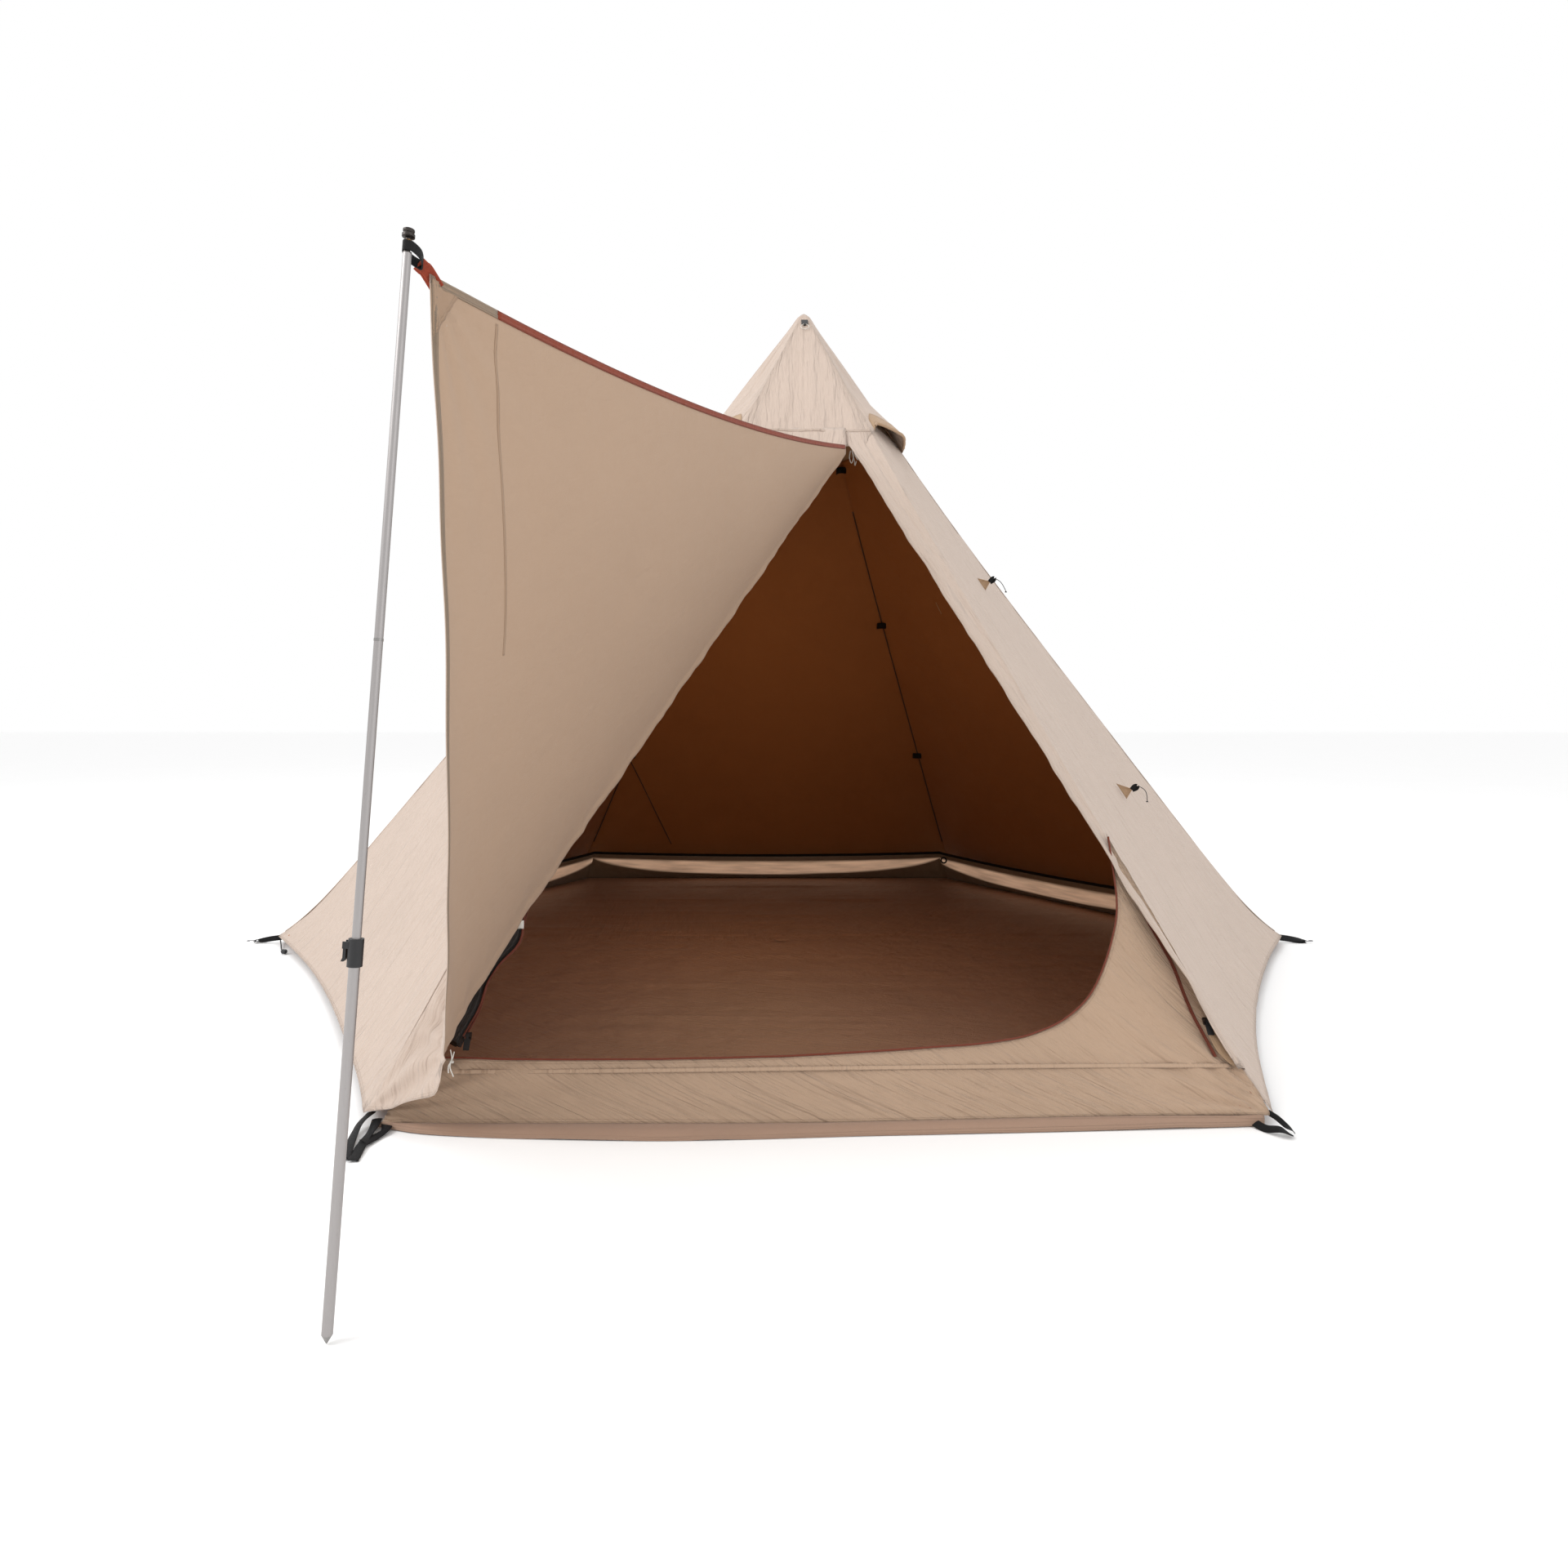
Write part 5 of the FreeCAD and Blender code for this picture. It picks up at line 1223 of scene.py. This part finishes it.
pleats = 1 + 0.16 * np.sin(angle[None] * 9 + 3 * noise2(s[:, None] * 6, angle[None] * 0.6, 82)) + 0.10 * noise2(
    s[:, None] * 14, angle[None] * 2, 83)
mesh_roll = rod("mesh_door", line, size[:, None] * pleats, NET, sides, "mesh_fabric", "mesh_door_roll")
for k, (at, phase) in enumerate(((0.0, 0.2), (0.03, 0.9))):
    ss = np.linspace(0.01, 0.30 + 0.1 * k, 90)
    base = sample(ss, s, line)
    _, u, v = frames_along(base)
    spin = phase + 0.9 * noise1(ss * 5, 84 + k)
    reach = np.interp(ss, s, size) * 1.12
    rust_line = base + (u * np.cos(spin)[:, None] + v * np.sin(spin)[:, None]) * reach[:, None]
    rod(f"mesh_door_piping_{k}", rust_line, 0.0022, RUST_PAINTED_SHADE, 8, "rust_binding")

piping_rise = 0.0012 * noise2(DOOR_EDGE[:, 0] * 14, DOOR_EDGE[:, 1] * 14, 91)
piping_line = on_front(DOOR_EDGE[:, 0], DOOR_EDGE[:, 1] + piping_rise, 0.0035)
rod("inner_door_piping", piping_line, 0.0023, RUST_PAINTED_SHADE, 10, "rust_binding", "door_piping")


# ---------------------------------------------------------------- guy-out points

GUY_DOWNS = (0.456, 0.748)
for k, (left, right) in enumerate(SIDE_FACES):
    normal = face_normal(left, right)
    for level, down in enumerate(GUY_DOWNS):
        above, root, below = (face_point(left, right, np.array(down) + step, np.array(0.5))
                              for step in (-0.01, 0, 0.01))
        root = root + normal * 0.001
        slope = unit(below - above)
        across = np.cross(normal, slope)
        tip = root + normal * 0.034 + slope * 0.012
        rows = []
        for t in np.linspace(0, 1, 12):
            base = root - slope * 0.030 * (1 - t) + slope * 0.030 * t
            line = base + (tip - base) * np.linspace(0, 0.94, 10)[:, None]
            belly = 0.0035 * np.sin(np.pi * np.linspace(0, 1, 10))[:, None] * math.sin(math.pi * t)
            rows.append(line + across * belly)
        patch(f"guy_gusset_{k}_{level}", np.array(rows), TAN, "shell_fabric", "guyout_gussets",
              sewn=("left", "top", "bottom"), thick=0.0016, facing=across)
        loop_line = [tip + normal * -0.004, tip + normal * 0.010 - slope * 0.004, tip + normal * 0.0165,
                     tip + normal * 0.010 + slope * 0.004, tip + normal * -0.003 + slope * 0.002]
        strap(f"guy_loop_{k}_{level}", loop_line, [slope] * 5, 0.0145, 0.0016, 6, 26, node="guyout_tapes")

for k, (corner, height) in enumerate(itertools.product(("back_right", "back_left"), (1.960, 1.330, 0.700))):
    down = np.array((2.5 - height) / SLOPE_RISE)
    outward = unit(CORNERS[corner] * vec(1, 1, 0))
    spot = seam(corner, down) - outward * 0.034
    side = np.cross(outward, vec(0, 0, 1))
    line = [spot + side * -0.024 + outward * 0.012, spot + side * -0.012 - outward * 0.002, spot - outward * 0.006,
            spot + side * 0.012 - outward * 0.002, spot + side * 0.024 + outward * 0.012]
    strap(f"seam_band_{k}", line, [vec(0, 0, 1)] * 5, 0.027, 0.002, 6, 30, node="corner_seam_bands")


# ---------------------------------------------------------------- pegging straps

def outward_of(corner):
    return unit(CORNERS[corner] * vec(1, 1, 0))


for corner, node in (("right", "strap_right"), ("left", "strap_left"), ("back_right", "straps_back"),
                     ("back_left", "straps_back")):
    out = outward_of(corner)
    side = np.cross(vec(0, 0, 1), out)
    foot = CORNERS[corner] * vec(1, 1, 0)
    eye = foot + out * 0.092 + vec(0, 0, 0.007)
    start = foot - out * 0.012 + vec(0, 0, 0.021)
    for level, lift in enumerate((0.0015, -0.0015)):
        line = [start + vec(0, 0, lift), foot + out * 0.025 + vec(0, 0, 0.016 + lift),
                foot + out * 0.06 + vec(0, 0, 0.010 + lift * 1.6),
                eye - out * (0.003 - 0.002 * level) + vec(0, 0, lift * 2.4)]
        tilt = vec(0, 0, 1.7)
        strap(f"peg_strap_{corner}_{level}", line, [side + tilt, side + tilt, side + tilt * 0.6, side], 0.022,
              0.0018, 8, 40, 0.001, node=node)

lock_at = vec(-1.889, -0.186, 0.009)
lock_line = lock_at + vec(0.6, -0.5, 0.1) * np.linspace(-0.018, 0.018, 12)[:, None]
lock_size = np.array([0.004, 0.0075, 0.0085, 0.0085, 0.0070, 0.0066, 0.0066, 0.0078, 0.0085, 0.0085, 0.0070, 0.004])
rod("left_cord_lock", lock_line, lock_size, BLACK, 16, "black_plastic")
lock_cord = spline([(-1.985, -0.012, 0.018), (-1.955, -0.070, 0.010), (-1.920, -0.140, 0.006), lock_at], 40)
rod("left_lock_cord", lock_cord, 0.0022, BLACK_WEB, 8, "cord")

front_left_straps = [
    [(-0.985, -1.722, 0.024), (-0.994, -1.765, 0.018), (-0.990, -1.82, 0.008), (-0.972, -1.905, 0.0035)],
    [(-0.968, -1.735, 0.014), (-0.962, -1.775, 0.011), (-0.962, -1.83, 0.006), (-0.952, -1.912, 0.0035)],
    [(-0.945, -1.742, 0.008), (-0.936, -1.77, 0.007), (-0.945, -1.80, 0.005), (-0.958, -1.84, 0.009)],
]
for k, line in enumerate(front_left_straps):
    side = vec(1, 0.1, 0.25 - 0.2 * k)
    strap(f"front_left_strap_{k}", line, [side, side + vec(0, 0, 0.4), side, side - vec(0, 0, 0.2)], 0.022, 0.0018,
          7, 40, 0.0014, node="strap_front_left")

front_right_straps = [
    [(0.990, -1.728, 0.026), (0.998, -1.750, 0.022), (1.003, -1.772, 0.016), (1.008, -1.796, 0.011)],
    [(0.950, -1.735, 0.010), (0.964, -1.765, 0.006), (0.984, -1.788, 0.013), (1.004, -1.800, 0.005)],
]
for k, line in enumerate(front_right_straps):
    first = vec(0.5, 0.4, 0.9) if k == 0 else vec(0.5, 0.5, 0.6)
    twist = [first, first, vec(0.3, 0.8, 0.4), vec(0.2, 0.9, -0.2)]
    strap(f"front_right_strap_{k}", line, twist, 0.012 + 0.006 * k, 0.0014, 7, 40, 0.001, node="strap_front_right")


# ---------------------------------------------------------------- awning corner loop and tab

tab_low, tab_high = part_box("awning_corner_tab")
loop_low, loop_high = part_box("awning_corner_loop")
pole_low, pole_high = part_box("awning_finial")
POLE_FOOT = vec(-0.768, -2.478, 0)
POLE_TOP = vec(-0.669, -2.422, 1.616)
POLE_AXIS = unit(POLE_TOP - POLE_FOOT)
toward = TIP - POLE_FOOT
toward = unit(toward - POLE_AXIS * np.dot(toward, POLE_AXIS))
spot = POLE_FOOT + POLE_AXIS * 1.5965
side = np.cross(POLE_AXIS, toward)
loop_line = [spot + toward * 0.036, spot + toward * 0.018 + side * 0.012, spot + side * 0.0085 - toward * 0.001,
             spot - toward * 0.0085, spot - side * 0.0085 - toward * 0.001, spot + toward * 0.018 - side * 0.012]
ring_path = spline(loop_line, 61, closed=True)[:-1]
loop_grid = ring_path[:, None] + POLE_AXIS * np.linspace(-0.0075, 0.0075, 7)[None, :, None]
loop_grid = loop_grid - POLE_AXIS * (0.010 * np.clip(((ring_path - spot) @ toward) / 0.036, 0, 1))[:, None, None]
loop_grid = np.concatenate([loop_grid, loop_grid[:1]], 0).transpose(1, 0, 2)
web_loop = cloth("corner_web_loop", [loop_grid], [BLACK_WEB, BLACK_WEB], ("top", "bottom"), 0.0018,
                 loop_grid[:, :-1] - spot - toward * 0.014, closed=True)
finish_piece(web_loop, "webbing", "awning_corner_loop")
tab_start = spot + toward * 0.031 - POLE_AXIS * 0.010
tab_line = [tab_start, tab_start + (TIP - tab_start) * 0.5 + vec(0, 0, 0.001), TIP + vec(-0.001, -0.002, 0.003),
            TIP + unit(awning_at(np.array(0.985), np.array(0.985)) - TIP) * 0.030 + vec(0, -0.004, 0.001)]
tab_wide = [vec(0.74, -0.07, 0.67)] * 3 + [vec(0.80, -0.05, 0.50)]
for k, lift in enumerate((0.0, 0.0024)):
    tab = ribbon(f"corner_tab_{k}", [vec(*p) + side * lift for p in np.asarray(tab_line)], tab_wide, 0.020 + 0.002 * k,
                 [RUST_WEB, RUST_WEB], 0.0016, 8, 40)
    finish_piece(tab, "rust_binding", "awning_corner_tab")


# ---------------------------------------------------------------- ties, labels and clamp details

door_top_loops = [
    [(-0.006, 0.004, -0.004), (-0.010, 0.000, -0.030), (-0.002, 0.002, -0.048), (0.004, 0.000, -0.026),
     (0.000, 0.004, -0.002)],
    [(0.006, 0.004, -0.004), (0.012, 0.000, -0.024), (0.020, 0.002, -0.036), (0.026, 0.000, -0.020),
     (0.020, 0.004, 0.002)],
    [(0.000, 0.006, -0.004), (0.008, 0.006, -0.034), (0.010, 0.004, -0.056), (0.015, 0.006, -0.040)],
]
for k, line in enumerate(door_top_loops):
    points = spline([DOOR_TOP + vec(0.012, 0.012, -0.012) + vec(*p) for p in line], 40)
    rod(f"door_top_loop_{k}", points, 0.0017, WHITE_CORD, 8, "cord")

fold_foot_knot = FOLD_FOOT + vec(0.021, 0.006, 0.006)
tie_lines = [
    [(-0.004, 0, 0.024), (0, -0.004, 0.008), (-0.003, -0.006, -0.010), (0.004, -0.006, -0.030)],
    [(0.004, 0, 0.020), (0.001, -0.004, 0.006), (-0.006, -0.006, -0.008), (-0.006, -0.007, -0.022)],
]
for k, line in enumerate(tie_lines):
    rod(f"door_tie_{k}", spline([fold_foot_knot + vec(*p) for p in line], 40), 0.0013, WHITE_CORD, 8, "cord")
finish_piece(knot("door_tie_knot", fold_foot_knot + vec(0, -0.005, 0), 0.0034, 0.0014, WHITE_CORD), "cord")

for name, at, wide, tall in (("fold_label_low", 0.868, 0.012, 0.018), ("fold_label_high", 0.812, 0.024, 0.020)):
    label_at = fold(np.array(at)) + vec(-0.004, 0.006, 0)
    label_grid = np.meshgrid(np.linspace(0, wide, 5), [0.0], np.linspace(0, tall, 5), indexing="ij")
    label_grid = label_at + np.stack(label_grid, -1)[:, 0]
    patch(name, label_grid, LABEL, "cord", sewn=(), thick=0.0008, facing=vec(0, -1, 0))

dress(ALLOY, "leg_right_lower", "leg_right_middle", "leg_right_upper", "leg_left_lower", "leg_left_middle",
      "leg_left_upper", "awning_pole_lower", "awning_pole_middle", "awning_pole_upper")
dress(STEEL, "leg_ferrules", "awning_pole_joint", "awning_pole_spike")
dress(BLACK, "pole_hub", "pole_clamp", "clamp_lever", "peak_toggle", "outer_zip_pull", "door_zip_pull")
dress(DARK_STEEL, "outer_zip_slider", "door_zip_slider", "awning_finial")
dress(WIRE, "hook_right", "hook_left", "hook_back_right", "hook_back_left")
dress(RUBBER, "leg_feet")
dress(WHITE_CORD, "peak_ring")

neck_base = POLE_FOOT + POLE_AXIS * 1.5885
rod("finial_neck", [neck_base + POLE_AXIS * h for h in np.linspace(0.015, 0.0175, 4)], 0.0052, BRASS, 24,
    "fitting_metal")
